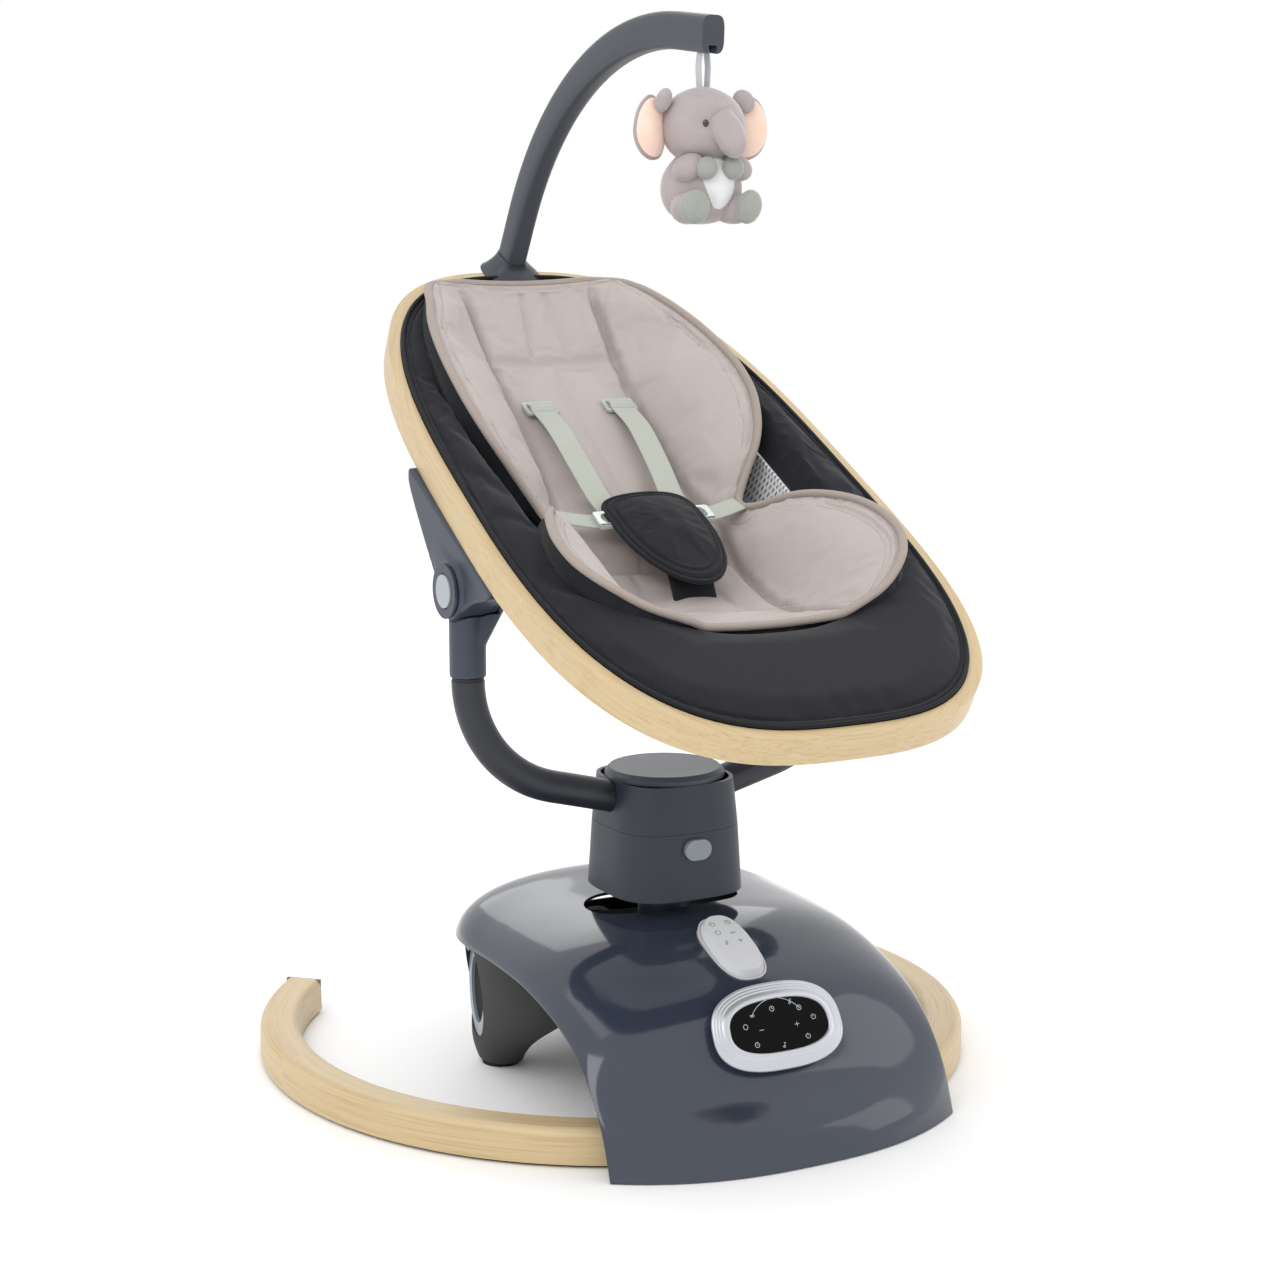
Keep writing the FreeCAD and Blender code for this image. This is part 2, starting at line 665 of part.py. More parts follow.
def drive_parts(panel_board):
    floor = "sizes.tub_floor"
    plate_top = f"{floor} + 4"
    chassis = new_body("chassis_plate")
    sketch = new_sketch(chassis, "chassis_outline")
    half, front, rear = "sizes.tub_half", "sizes.tub_front", "sizes.tub_rear"
    draw_outline(
        sketch,
        [
            (f"-{half} + 18", f"-{front} + 18"),
            (f"{half} - 18", f"-{front} + 18"),
            (f"{half} - 6", f"{rear} - 40"),
            (f"{half} - 34", f"{rear} - 12"),
            (f"-{half} + 34", f"{rear} - 12"),
            (f"-{half} + 6", f"{rear} - 40"),
        ],
    )
    pad(chassis, sketch, "chassis_thickness", "4")
    at_neck(chassis, "0", "0", floor)
    shaft = turned_piece(
        "swing_shaft",
        [
            ("0", "0"),
            ("sizes.shaft_radius + 9", "0"),
            ("sizes.shaft_radius + 9", "6"),
            ("sizes.shaft_radius", "6"),
            ("sizes.shaft_radius", "sizes.arm_thick + sizes.arm_low - sizes.tub_floor + 6"),
            ("0", "sizes.arm_thick + sizes.arm_low - sizes.tub_floor + 6"),
        ],
    )
    at_neck(shaft, "0", "sizes.pivot_back", plate_top)
    bearings = []
    for name, lift in (("lower", "0"), ("upper", "sizes.arm_thick - sizes.bearing_height")):
        bearing = turned_piece(
            f"swing_bearing_{name}",
            ring_corners("sizes.shaft_radius", "sizes.bearing_radius", "0", "sizes.bearing_height"),
        )
        bearings.append(at_neck(bearing, "0", "sizes.pivot_back", f"sizes.arm_low + {lift}"))
    gather("swing_bearings", bearings)
    nut = turned_piece("shaft_nut", ring_corners("sizes.shaft_radius", "sizes.shaft_radius + 5", "0", "5"))
    at_neck(nut, "0", "sizes.pivot_back", "sizes.arm_low + sizes.arm_thick + 1.5")
    coil = turned_piece("drive_coil", ring_corners("8", "22", "0", "9"))
    at_neck(coil, "0", "16", plate_top)
    board = keep(box("main_board", "76", "42", "1.6"), "main_board")
    at_neck(board, "-38", "-52", plate_top)
    track = free_shape(
        "glide_track", arc_slot(7, 0, size("arm_low") - size("tub_floor") - 4 - 6, 88, 24)
    )
    at_neck(track, "0", "0", plate_top)
    socket = box("socket_block", "sizes.inlet_wide", "22", "13")
    bore = cylinder("socket_bore", "sizes.inlet_radius", "14", None)
    bore.Placement = Placement(Vector(0, 0, 0), Rotation(Vector(1, 0, 0), -90))
    bore.setExpression("Placement.Base.x", "sizes.inlet_wide / 2")
    bore.Placement.Base.y = 9
    bore.Placement.Base.z = 6.5
    gather("circuit_boards", [board, panel_board])
    inlet = keep(cut("power_inlet", socket, bore), "power_inlet")
    at_neck(inlet, "-sizes.inlet_wide / 2", "sizes.tub_rear - 22", "sizes.inlet_z")


def ring_saddle():
    """The moulded block inside the shell's apron that carries the front of the floor ring."""
    top = size("grip_height") + size("ring_height")
    outer, width = size("ring_radius"), size("ring_width")
    centre = Vector(0, size("ring_back"), top)
    seat = Part.makeCylinder(outer - 2, 8, centre).cut(Part.makeCylinder(outer - width, 8, centre))
    sector = Part.makeBox(260, 130, 8, Vector(-130, -260, top))
    shape = seat.common(sector)
    web = Part.makeBox(100, 150, size("tub_floor") - size("body_wall") - top - 8, Vector(-50, -215, top + 8))
    under = Part.makeBox(100, 190, 8, Vector(-50, -215, top))
    fixed("ring_saddle", shape.fuse(under).fuse(web).removeSplitter())


# ---------------------------------------------------------------- swing arm and neck


def arm_shape():
    low, thick = size("arm_low"), size("arm_thick")
    back = size("pivot_back")
    hub = Part.makeCylinder(24, thick, Vector(0, back, low))
    bar = Part.makeBox(40, back, thick, Vector(-20, 0, low))
    foot = Part.makeCylinder(34, thick, Vector(0, 0, low))
    stalk = Part.makeCylinder(size("stalk_radius"), size("neck_low") - low, Vector(0, 0, low))
    fit = size("running_fit")
    bore = Part.makeCylinder(size("bearing_radius") + fit, thick + 2, Vector(0, back, low - 1))
    spindle_bore = Part.makeCylinder(size("spindle_radius") + fit, 200, Vector(0, 0, low + 8))
    return hub.fuse([bar, foot, stalk]).cut(bore).cut(spindle_bore).removeSplitter()


def neck_section(half, height, power=3.2):
    return oval(half, half, power, 0, 0, height)


def neck_shell(low, low_half, high, high_half, floor):
    """A tapering housing of rounded square section, closed below by a floor."""
    wall = size("neck_wall")
    outer = loft([neck_section(low_half, low), neck_section(high_half, high)])
    inner = loft([neck_section(low_half - wall, low + floor), neck_section(high_half - wall, high + 0.1)])
    return outer.cut(inner)


def neck_lower():
    low, seam = size("neck_low"), size("neck_seam")
    shell = neck_shell(low, size("neck_half"), seam, size("seam_half"), 5)
    bore = Part.makeCylinder(size("spindle_radius") + size("running_fit"), 70, Vector(0, 0, low - 5))
    key = key_shape(size("gap"), 30)
    sleeve = Part.makeCylinder(24, 48, Vector(0, 0, low))
    fixed("neck_lower", shell.cut(key).fuse(sleeve).cut(bore).removeSplitter())


def key_shape(grow, depth):
    """The stadium shape of the neck's release button, pointing out of the neck's front."""
    wide, high = size("key_width") + 2 * grow, size("key_height") + 2 * grow
    front = -size("neck_half") + 0.5 - size("button_proud") / 2 - (18 if grow else 0)
    bar = Part.makeBox(wide - high, depth, high, Vector(-(wide - high) / 2, front, size("key_z") - high / 2))
    ends = [
        Part.makeCylinder(high / 2, depth, Vector(x, front, size("key_z")), Vector(0, 1, 0))
        for x in (-(wide - high) / 2, (wide - high) / 2)
    ]
    return bar.fuse(ends).removeSplitter()


def neck_pieces():
    fixed("swing_arm", arm_shape())
    neck_lower()
    fixed("neck_key", key_shape(0, size("key_depth")))
    spindle = turned_piece(
        "turn_spindle",
        ring_corners(
            "0", "sizes.spindle_radius", "0", "sizes.neck_seam + sizes.gap - sizes.arm_low - 8.5"
        ),
    )
    at_neck(spindle, "0", "0", "sizes.arm_low + 8.5")
    slide = arc_slot(size("slot_half") + 6, 0, 2, size("pivot_back"), size("slot_angle") + 13)
    stalk_hole = Part.makeCylinder(size("stalk_radius"), 4, Vector(0, 0, -1))
    cover = free_shape("slot_cover", slide.cut(stalk_hole))
    at_neck(cover, "0", "0", "sizes.shell_top - 22")
    magnets = [Part.makeBox(16, 24, 6, Vector(x, 4, 0)) for x in (-18, 2)]
    pole = free_shape("drive_magnets", Part.makeCompound(magnets))
    at_neck(pole, "0", "0", "sizes.arm_low - 6")
    pads = [
        Part.makeCylinder(5, 5.4, Vector(88 * math.sin(a), size("pivot_back") - 88 * math.cos(a), 0))
        for a in (-0.14, 0.14)
    ]
    glide = free_shape("glide_pads", Part.makeCompound(pads))
    at_neck(glide, "0", "0", "sizes.arm_low - 5.4")


# ---------------------------------------------------------------- turning part of the neck


def tube_path():
    half, end = size("tube_half"), size("tube_end")
    points = [
        Vector(-half, 0, end),
        Vector(-half, 0, size("tube_corner")),
        Vector(0, 0, size("tube_low")),
        Vector(half, 0, size("tube_corner")),
        Vector(half, 0, end),
    ]
    return rounded_path(points, [size("tube_bend"), size("tube_dip"), size("tube_bend")])


def tube_solid(radius, bore=0.0):
    start = Vector(-size("tube_half"), 0, size("tube_end"))
    disc = Part.Face(Part.Wire(Part.makeCircle(radius, start, Vector(0, 0, 1))))
    if bore:
        disc = disc.cut(Part.Face(Part.Wire(Part.makeCircle(bore, start, Vector(0, 0, 1)))))
    return tube_path().makePipe(disc)


def neck_upper_pieces():
    gap = size("gap")
    seam, top = size("neck_seam") + gap, size("neck_top")
    radius = size("tube_radius")
    fixed("bent_tube", tube_solid(radius, radius - size("tube_wall")))
    shell = neck_shell(seam, size("seam_half"), top, size("top_half"), 3.2)
    saddle = tube_solid(size("tube_radius") + 0.2)
    fixed("neck_upper", shell.cut(saddle))
    cap = turned_piece(
        "neck_cap",
        [
            ("0", "0"),
            ("sizes.cap_radius + 0.5", "0"),
            ("sizes.cap_radius", "sizes.cap_height - 4"),
            ("sizes.cap_radius - 4", "sizes.cap_height"),
            ("0", "sizes.cap_height"),
        ],
    )
    at_neck(cap, "0", "0", "sizes.neck_top")


def hub_cylinder(radius, sign, near, far, grow=0.0):
    near, far = min(near, far), max(near, far)
    start = near if sign > 0 else -far
    return Part.makeCylinder(radius + grow, far - near, Vector(start, 0, size("hub_z")), Vector(1, 0, 0))


def stem(side, sign):
    """The moulded stem between a tube end and its hub, with an ear inside the hub."""
    gap, hub_z = size("gap"), size("hub_z")
    low = size("tube_end") + size("collar_height")
    x = sign * size("tube_half")
    post = Part.makeCylinder(size("stem_radius"), hub_z - low - 8, Vector(x, 0, low))
    ear_in = size("hub_in") - gap - size("ear_thick")
    ear = hub_cylinder(size("ear_radius"), sign, ear_in, size("hub_in") - gap)
    low_x, high_x = ear_in, size("tube_half") - 4
    start = low_x if sign > 0 else -high_x
    link = Part.makeBox(high_x - low_x, 26, hub_z - 424, Vector(start, -13, 424))
    wedge = Part.makeBox(60, 60, 60, Vector(0, -30, -60))
    wedge.Placement = Placement(Vector(sign * ear_in, 0, 440), Rotation(Vector(0, 1, 0), 52 * sign - 90))
    solid = post.fuse([ear, link])
    solid = solid.cut(hub_cylinder(size("hub_radius") + gap, sign, size("hub_in") - gap, 240))
    solid = solid.cut(hub_cylinder(size("pin_radius"), sign, 120, 240))
    fixed(f"stem_{side}", solid.removeSplitter())
    collar = turned_piece(
        f"tube_collar_{side}",
        ring_corners("sizes.tube_radius - 6", "sizes.tube_radius - 0.6", "0", "sizes.collar_height"),
    )
    at_neck(collar, f"{sign} * sizes.tube_half", "0", "sizes.tube_end")
    head = hub_cylinder(10, sign, ear_in - 4, ear_in)
    pin = hub_cylinder(size("pin_radius"), sign, ear_in, size("hub_in") + 22)
    pin = fixed(f"recline_pin_{side}", head.fuse(pin).removeSplitter())
    return collar, pin


# ---------------------------------------------------------------- seat


def seat_point(s, h):
    """Where a point of the seat's own frame is, in the upright plane of symmetry."""
    tilt = math.radians(size("seat_tilt"))
    back = size("seat_y") + s * math.cos(tilt) - h * math.sin(tilt)
    return Vector(0, back, size("seat_z") + s * math.sin(tilt) + h * math.cos(tilt))


def hub_on_seat():
    """The recline axis in the seat's own frame, as distances along and above the seat."""
    tilt = math.radians(size("seat_tilt"))
    back, up = -size("seat_y"), size("hub_z") - size("seat_z")
    return (
        back * math.cos(tilt) + up * math.sin(tilt),
        -back * math.sin(tilt) + up * math.cos(tilt),
    )


def seat_outline(grow, height):
    return oval(size("seat_long") + grow, size("seat_wide") + grow, 2.9, -0.054, 0, height)


def wood_slab():
    """A bowed slab that gives the frame's wood its height at every place along the seat."""
    bow, high = size("wood_bow"), size("wood_high")
    reach = size("seat_long") + 30
    ends = bow * (reach / size("seat_long")) ** 2
    top = Part.Arc(Vector(0, -reach, ends), Vector(0, 0, 0), Vector(0, reach, ends)).toShape()
    low = Part.Arc(
        Vector(0, -reach, ends - high), Vector(0, 0, -high), Vector(0, reach, ends - high)
    ).toShape()
    sides = [
        Part.LineSegment(Vector(0, s, ends - high), Vector(0, s, ends)).toShape()
        for s in (-reach, reach)
    ]
    wire = Part.Wire(Part.__sortEdges__([top, sides[0], low, sides[1]]))
    slab = Part.Face(wire).extrude(Vector(600, 0, 0))
    slab.translate(Vector(-300, 0, 0))
    return slab


def seat_frame():
    band = plate(seat_outline(size("wood_thick"), -60), 120).cut(plate(seat_outline(0, -60), 120))
    wood = band.common(wood_slab())
    for side, sign in SIDES:
        for place in SCREW_PLACES:
            wood = wood.cut(bracket_screw(sign, place, 0.1, 4))
    seated("seat_frame", wood)


def seat_border():
    clear = size("border_clear")
    deep, high = size("border_deep"), size("border_high")
    outer = plate(seat_outline(-clear, -deep), deep + high)
    hole = plate(basin_outline(0, -deep - 1), deep + high + 2)
    seated("seat_border", outer.cut(hole))


def basin_outline(inset, height):
    return oval(270 - inset, 150 - inset, 2.7, -0.03, 56, height)


def basin_sections(inset):
    deep = size("basin_deep")
    low = size("border_deep")
    # Depth, middle along the seat, half length, half width of each section.
    rows = [
        (low + size("gap"), 56, 270 - 1, 150 - 1),
        (low + 0.40 * (deep - low), 34, 238, 136),
        (low + 0.75 * (deep - low), 4, 190, 112),
        (deep - inset, -16, 132, 76),
    ]
    return loft([oval(l - inset, w - inset, 2.6, -0.03, m, -d) for d, m, l, w in rows])


def seat_basin():
    wall = size("basin_wall")
    shell = basin_sections(0).cut(basin_sections(wall))
    lip = plate(basin_outline(-10, -size("border_deep") - 2), 2 - size("gap"))
    hole = plate(basin_outline(wall, -size("border_deep") - 3), 5)
    seated("seat_basin", shell.fuse(lip.cut(hole)))


def insert_rows():
    """The upper face of the infant insert, as rows across it from head to foot."""
    # Place along the seat, depth in the middle, half width and height at the edge.
    ribs = [
        (344, 1, 62, 10),
        (330, -5, 100, 15),
        (300, -14, 122, 22),
        (250, -28, 140, 26),
        (190, -42, 150, 26),
        (130, -55, 150, 20),
        (80, -64, 138, 4),
        (35, -71, 112, -30),
        (0, -75, 108, -34),
        (-40, -77, 134, 6),
        (-85, -73, 160, 26),
        (-125, -62, 166, 32),
        (-165, -44, 150, 28),
        (-198, -24, 118, 18),
        (-222, -6, 70, 9),
    ]
    rows = []
    steps = 12
    for along, depth, half, edge in ribs:
        row = []
        for j in range(steps + 1):
            across = 2 * j / steps - 1
            rise = smooth_step((abs(across) - 0.35) / 0.75) / smooth_step(0.65 / 0.75)
            row.append(Vector(half * across, along, depth + (edge - depth) * rise))
        rows.append(row)
    return rows


def infant_insert():
    upper = insert_rows()
    solid = surface_solid(upper, thicken_down(upper, size("pad_thick")))
    for tool in (grown_border(), basin_keepout()):
        solid = solid.cut(tool)
    seated("infant_insert", solid)


def grown_border():
    outer = plate(seat_outline(20, -size("border_deep") - 8), size("border_deep") + size("border_high") + 8.5)
    hole = plate(basin_outline(size("basin_wall") + 1, -60), 90)
    return outer.cut(hole)


def basin_keepout():
    block = plate(seat_outline(30, -200), 200 - size("border_deep") - size("gap"))
    return block.cut(basin_sections(size("basin_wall") + 4))


def bracket(side, sign):
    """A bracket from its hub up to the underside of the wooden frame."""
    hub_s, hub_h = hub_on_seat()
    radius = size("hub_radius")
    high = size("wood_high")
    near, far = size("blade_in"), size("blade_out")
    start = near if sign > 0 else -far
    outline = [
        Vector(start, 86, 4 - high),
        Vector(start, 86, -high - 4),
        Vector(start, 78, -high - 14),
        Vector(start, 40, -66),
        Vector(start, hub_s + 0.87 * radius, hub_h - 0.5 * radius),
        Vector(start, hub_s, hub_h),
        Vector(start, hub_s - 0.9 * radius, hub_h + 0.44 * radius),
        Vector(start, -104, -high - 6),
        Vector(start, -108, 4 - high),
    ]
    blade = Part.Face(Part.makePolygon(outline + outline[:1])).extrude(Vector(far - near, 0, 0))
    turn = Placement(Vector(0, 0, 0), Rotation(Vector(1, 0, 0), -size("seat_tilt")))
    hub = hub_cylinder(radius, sign, size("hub_in"), size("hub_out"))
    bore = hub_cylinder(
        size("pin_radius"), sign, size("hub_in") - 5, size("hub_in") + 23, size("running_fit")
    )
    pocket_near = size("hub_out") + size("button_proud") - size("button_length") - size("button_travel") - 1
    pocket = hub_cylinder(size("button_radius"), sign, pocket_near, 240, size("gap"))
    parts = []
    for shape in (hub, bore, pocket):
        shape.translate(-seat_point(0, 0))
        parts.append(shape.transformed(turn.toMatrix(), True))
    hub, bore, pocket = parts
    solid = blade.cut(wood_slab()).fuse(hub).cut(bore).cut(pocket)
    for place in SCREW_PLACES:
        solid = solid.cut(bracket_screw(sign, place, 0.1, 40))
    seated(f"seat_bracket_{side}", solid.removeSplitter())
    bezel = hub_cylinder(size("bezel_radius"), sign, size("hub_out"), size("hub_out") + size("bezel_thick"))
    hole = hub_cylinder(size("button_radius") + 1, sign, 200, 240)
    tip = size("hub_out") + size("button_proud")
    fixed(f"hub_button_{side}", hub_cylinder(size("button_radius"), sign, tip - size("button_length"), tip))
    return fixed(f"hub_ring_{side}", bezel.cut(hole))


def bracket_screw(sign, place, clear, head_long):
    """A screw that goes up through a bracket into the wood; with clearance and a long head, its hole."""
    x = sign * (size("blade_in") + size("blade_out") - 2 * size("blade_shift")) / 2
    bottom = Vector(x, place, -size("wood_high") - 12)
    shank = Part.makeCylinder(2.5 + clear, 28, bottom)
    return shank.fuse(Part.makeCylinder(5 + clear, head_long, bottom, Vector(0, 0, -1)))


def bracket_screws():
    screws = [bracket_screw(sign, place, 0, 4) for side, sign in SIDES for place in SCREW_PLACES]
    seated("bracket_screws", Part.makeCompound(screws))


# ---------------------------------------------------------------- harness


def ribbon(points, radii, wide, thick, across):
    """A flat strap along a path in the seat's frame, wide along X, drawn at a place across."""
    path = rounded_path([Vector(across, s, h) for s, h in points], radii)
    first, second = points[0], points[1]
    along = Vector(0, second[0] - first[0], second[1] - first[1]).normalize()
    side = Vector(1, 0, 0)
    up = side.cross(along)
    centre = Vector(across, first[0], first[1])
    corners = [
        centre + side * (x * wide / 2) + up * (z * thick / 2)
        for x, z in ((-1, -1), (1, -1), (1, 1), (-1, 1))
    ]
    return pipe(path, Part.makePolygon(corners + corners[:1]))


def harness():
    clips, belts = [], []
    for side, sign in SIDES:
        strap = ribbon([(192, -38), (150, -28), (70, -30), (30, -33)], [80, 200], 25, 2, sign * 40)
        seated(f"shoulder_strap_{side}", strap)
        frame = Part.makeBox(34, 22, 5, Vector(-17, -11, -2.5))
        frame = frame.cut(Part.makeBox(27, 6, 9, Vector(-13.5, -9, -4)))
        frame = frame.cut(Part.makeBox(27, 6, 9, Vector(-13.5, 3, -4)))
        frame.rotate(Vector(0, 0, 0), Vector(1, 0, 0), -math.degrees(math.atan2(10, 42)))
        frame.translate(Vector(sign * 40, 172, -28.5))
        seated(f"strap_adjuster_{side}", frame)
        clip = Part.makeBox(30, 24, 6, Vector(-15 + sign * 58, -22, -37))
        clips.append(seated(f"waist_clip_{side}", clip))
        belt = Part.makeBox(16, 24, 2, Vector(-8 + sign * 81, -22, -34))
        belts.append(seated(f"waist_strap_{side}", belt))
    gather("waist_clips", clips)
    gather("waist_straps", belts)
    pad = loft(
        [
            loop(shield_points(0, -38)),
            loop(shield_points(2, -30)),
            loop(shield_points(-6, -23)),
        ]
    )
    seated("buckle_pad", pad)
    housing = Part.makeBox(56, 44, 9, Vector(-28, -36, -48))
    key_pocket = Part.makeCylinder(8.3, 3.5, Vector(0, -14, -48))
    seated("buckle", housing.cut(key_pocket))
    seated("crotch_strap", ribbon([(-60, -46), (-84, -58), (-92, -71)], [20], 38, 3, 0))
    seated("buckle_key", Part.makeCylinder(8, 4, Vector(0, -14, -52.5)))


def shield_points(grow, height):
    """A shield outline: square shoulders at the child's waist and a rounded point below."""
    points = []
    for i in range(28):
        turn = 2 * math.pi * i / 28
        c, s = math.cos(turn), math.sin(turn)
        across = math.copysign(abs(c) ** 0.8, c)
        along = math.copysign(abs(s) ** 0.8, s)
        narrow = 1 - 0.42 * max(0, -along) ** 1.5
        points.append(Vector((41 + grow) * across * narrow, -36 + (62 + grow) * along, height))
    return points


# ---------------------------------------------------------------- toy bar and toy


def toy_bar():
    tip, high, lift = size("bar_tip"), size("bar_high"), size("bar_lift")
    foot = size("seat_long") + size("wood_thick") + 2
    wide, deep = size("bar_wide"), size("bar_deep")
    corner_s = foot - 12
    corner_h = high - (corner_s - tip) * math.tan(math.radians(22))
    path = rounded_path(
        [Vector(0, foot, lift), Vector(0, corner_s, corner_h), Vector(0, tip, high)],
        [size("bar_bend") * 0.93],
    )
    section = oval(deep / 2, wide / 2, 3.6, 0, 0, 0)
    section.Placement = Placement(Vector(0, foot, lift), Rotation(Vector(1, 0, 0), 0))
    bar = pipe(path, section)
    plug = Part.makeBox(12, 18, 20, Vector(-6, foot - 9, lift - 14))
    notch = Part.makeBox(8, 38, 20, Vector(-4, tip - 20, high - deep / 2 - 12))
    hook = Part.makeCylinder(size("hook_radius"), 10, Vector(-5, tip + 11, high - deep / 2), Vector(1, 0, 0))
    seated("toy_bar", bar.fuse(plug).cut(notch).fuse(hook).removeSplitter())
    socket_foot = loft(
        [oval(24, 31, 2.6, 0, foot - 2, 7.3), oval(17, 20, 2.6, 0, foot, 16), oval(17.5, 12, 3.2, 0, foot, lift - 0.3)]
    )
    skirt = Part.makeBox(50, 5, 30, Vector(-25, foot + 0.5, -20))
    plug_hole = Part.makeBox(12.6, 18.6, 60, Vector(-6.3, foot - 9.3, lift - 14.5))
    seated("toy_bar_socket", socket_foot.fuse(skirt).cut(plug_hole).cut(wood_slab()).removeSplitter())


def toy_hook():
    """Where the toy hangs: the hook in the tip of the toy bar."""
    return seat_point(size("bar_tip") + 11, size("bar_high") - size("bar_deep") / 2)


def plush_toy():
    """A seated plush animal: a round head and body with ears, paws and a trunk, hung by a ribbon."""
    hook = toy_hook()
    y, head_z = hook.y, hook.z - size("toy_drop")
    body_z = head_z - 50
    head = Part.makeSphere(35, Vector(0, y, head_z))
    pieces = [Part.makeSphere(31, Vector(0, y, body_z))]
    for sign in (-1, 1):
        pieces.append(Part.makeCylinder(20, 12, Vector(sign * 42, y - 2, head_z + 2), Vector(0, 1, 0)))
        pieces.append(Part.makeSphere(14, Vector(sign * 20, y - 25, body_z - 19)))
        pieces.append(Part.makeSphere(11, Vector(sign * 27, y - 18, body_z + 14)))
    pieces.append(Part.makeCone(13, 9, 26, Vector(6, y - 26, head_z - 6), Vector(0.4, -0.5, -0.8)))
    fixed("plush_toy", head.fuse(pieces).removeSplitter())
    top = hook.z - size("hook_radius") - size("gap")
    foot = head_z + 35
    fixed("toy_loop", Part.makeBox(6, 2, top - foot, Vector(-3, y - 1, foot)))


def write_parts():
    doc.recompute()
    for item in doc.Objects:
        if "Invalid" in item.State or "Error" in item.State:
            raise RuntimeError(f"{item.Label} did not compute: {item.State}")
    faulty = [p.Label for p in NODES if p.Shape.isNull() or not p.Shape.isValid()]
    if faulty:
        raise RuntimeError(f"no valid shape: {faulty}")
    for piece in NODES:
        piece.Shape.exportStep(f"parts/{piece.Label}.step")
        print(piece.Label, len(piece.Shape.Solids), round(piece.Shape.Volume))


floor_ring()
base_shell()
panel_board = control_panel()
remote_control()
underbody()
drive_parts(panel_board)
ring_saddle()
neck_pieces()
neck_upper_pieces()
collars_and_pins = [stem(side, sign) for side, sign in SIDES]
gather("tube_collars", [pair[0] for pair in collars_and_pins])
gather("recline_pins", [pair[1] for pair in collars_and_pins])
seat_frame()
seat_border()
seat_basin()
infant_insert()
gather("hub_rings", [bracket(side, sign) for side, sign in SIDES])
bracket_screws()
harness()
toy_bar()
plush_toy()
write_parts()
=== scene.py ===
import math

import bmesh
import bpy
import numpy as np
from mathutils import Matrix, Vector, noise


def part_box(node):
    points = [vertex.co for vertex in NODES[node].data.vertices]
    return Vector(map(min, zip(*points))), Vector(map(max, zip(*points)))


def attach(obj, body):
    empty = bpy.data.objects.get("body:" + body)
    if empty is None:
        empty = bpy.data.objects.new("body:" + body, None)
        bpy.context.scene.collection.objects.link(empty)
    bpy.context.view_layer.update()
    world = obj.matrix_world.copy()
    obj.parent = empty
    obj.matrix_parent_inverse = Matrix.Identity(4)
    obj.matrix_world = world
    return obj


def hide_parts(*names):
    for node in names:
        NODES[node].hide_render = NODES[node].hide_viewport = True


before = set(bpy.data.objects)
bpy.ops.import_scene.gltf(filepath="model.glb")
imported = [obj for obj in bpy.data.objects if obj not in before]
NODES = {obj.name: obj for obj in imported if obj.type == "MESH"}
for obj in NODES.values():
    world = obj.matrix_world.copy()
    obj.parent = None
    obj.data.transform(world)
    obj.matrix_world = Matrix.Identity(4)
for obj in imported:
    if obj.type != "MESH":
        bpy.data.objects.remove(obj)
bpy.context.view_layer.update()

MM = 0.001

# ---------------------------------------------------------------- places, in millimetres

NECK_Y = -14.0
SEAT_TILT = math.radians(28.22)
SEAT_MIDDLE = (0.0, NECK_Y + 3.2, 563.0)
PANEL = (NECK_Y - 203.0, 104.0, math.radians(60))
DOCK = (NECK_Y - 126.0, 153.5, math.radians(24))
RING_MIDDLE_Y = NECK_Y + 108.8

# ---------------------------------------------------------------- camera, light and floor


def aim(obj, target):
    """Turn a camera or lamp to look at a target."""
    way = Vector(target) - obj.location
    obj.rotation_euler = way.to_track_quat("-Z", "Y").to_euler()


def make_camera():
    data = bpy.data.cameras.new("studio_camera")
    data.lens = 70.3125
    data.sensor_width = 36
    data.clip_end = 50
    camera = bpy.data.objects.new("studio_camera", data)
    bpy.context.scene.collection.objects.link(camera)
    camera.location = (-1.0968, -2.0176, 0.826)
    aim(camera, (0, 0.0346, 0.410))
    bpy.context.scene.camera = camera


def make_lamp(name, place, target, size, power, colour="#ffffff"):
    data = bpy.data.lights.new(name, "AREA")
    data.shape = "RECTANGLE"
    data.size, data.size_y = size
    data.energy = power
    data.color = linear(colour)[:3]
    lamp = bpy.data.objects.new(name, data)
    bpy.context.scene.collection.objects.link(lamp)
    lamp.location = place
    aim(lamp, target)


def linear(code):
    """A colour from its sRGB hex value, as the linear numbers that a shader takes."""
    parts = [int(code[i : i + 2], 16) / 255 for i in (1, 3, 5)]
    return [p / 12.92 if p <= 0.04045 else ((p + 0.055) / 1.055) ** 2.4 for p in parts] + [1.0]


# ---------------------------------------------------------------- materials


def add(tree, kind, inputs=None, **settings):
    """Add a node; inputs are values or the sockets that feed it, by socket name or number."""
    node = tree.nodes.new(kind)
    for name, value in settings.items():
        setattr(node, name, value)
    for name, value in (inputs or {}).items():
        if isinstance(value, bpy.types.NodeSocket):
            tree.links.new(value, node.inputs[name])
        else:
            node.inputs[name].default_value = value
    return node


def new_material(name, colour, roughness, metallic=0.0, **settings):
    """A material with its principled shader; settings name more of the shader's sockets."""
    material = bpy.data.materials.new(name)
    material.use_nodes = True
    tree = material.node_tree
    shader = tree.nodes["Principled BSDF"]
    shader.inputs["Base Color"].default_value = linear(colour)
    shader.inputs["Roughness"].default_value = roughness
    shader.inputs["Metallic"].default_value = metallic
    for key, value in settings.items():
        shader.inputs[key.replace("_", " ")].default_value = value
    material.diffuse_color = linear(colour)
    return material, tree, shader


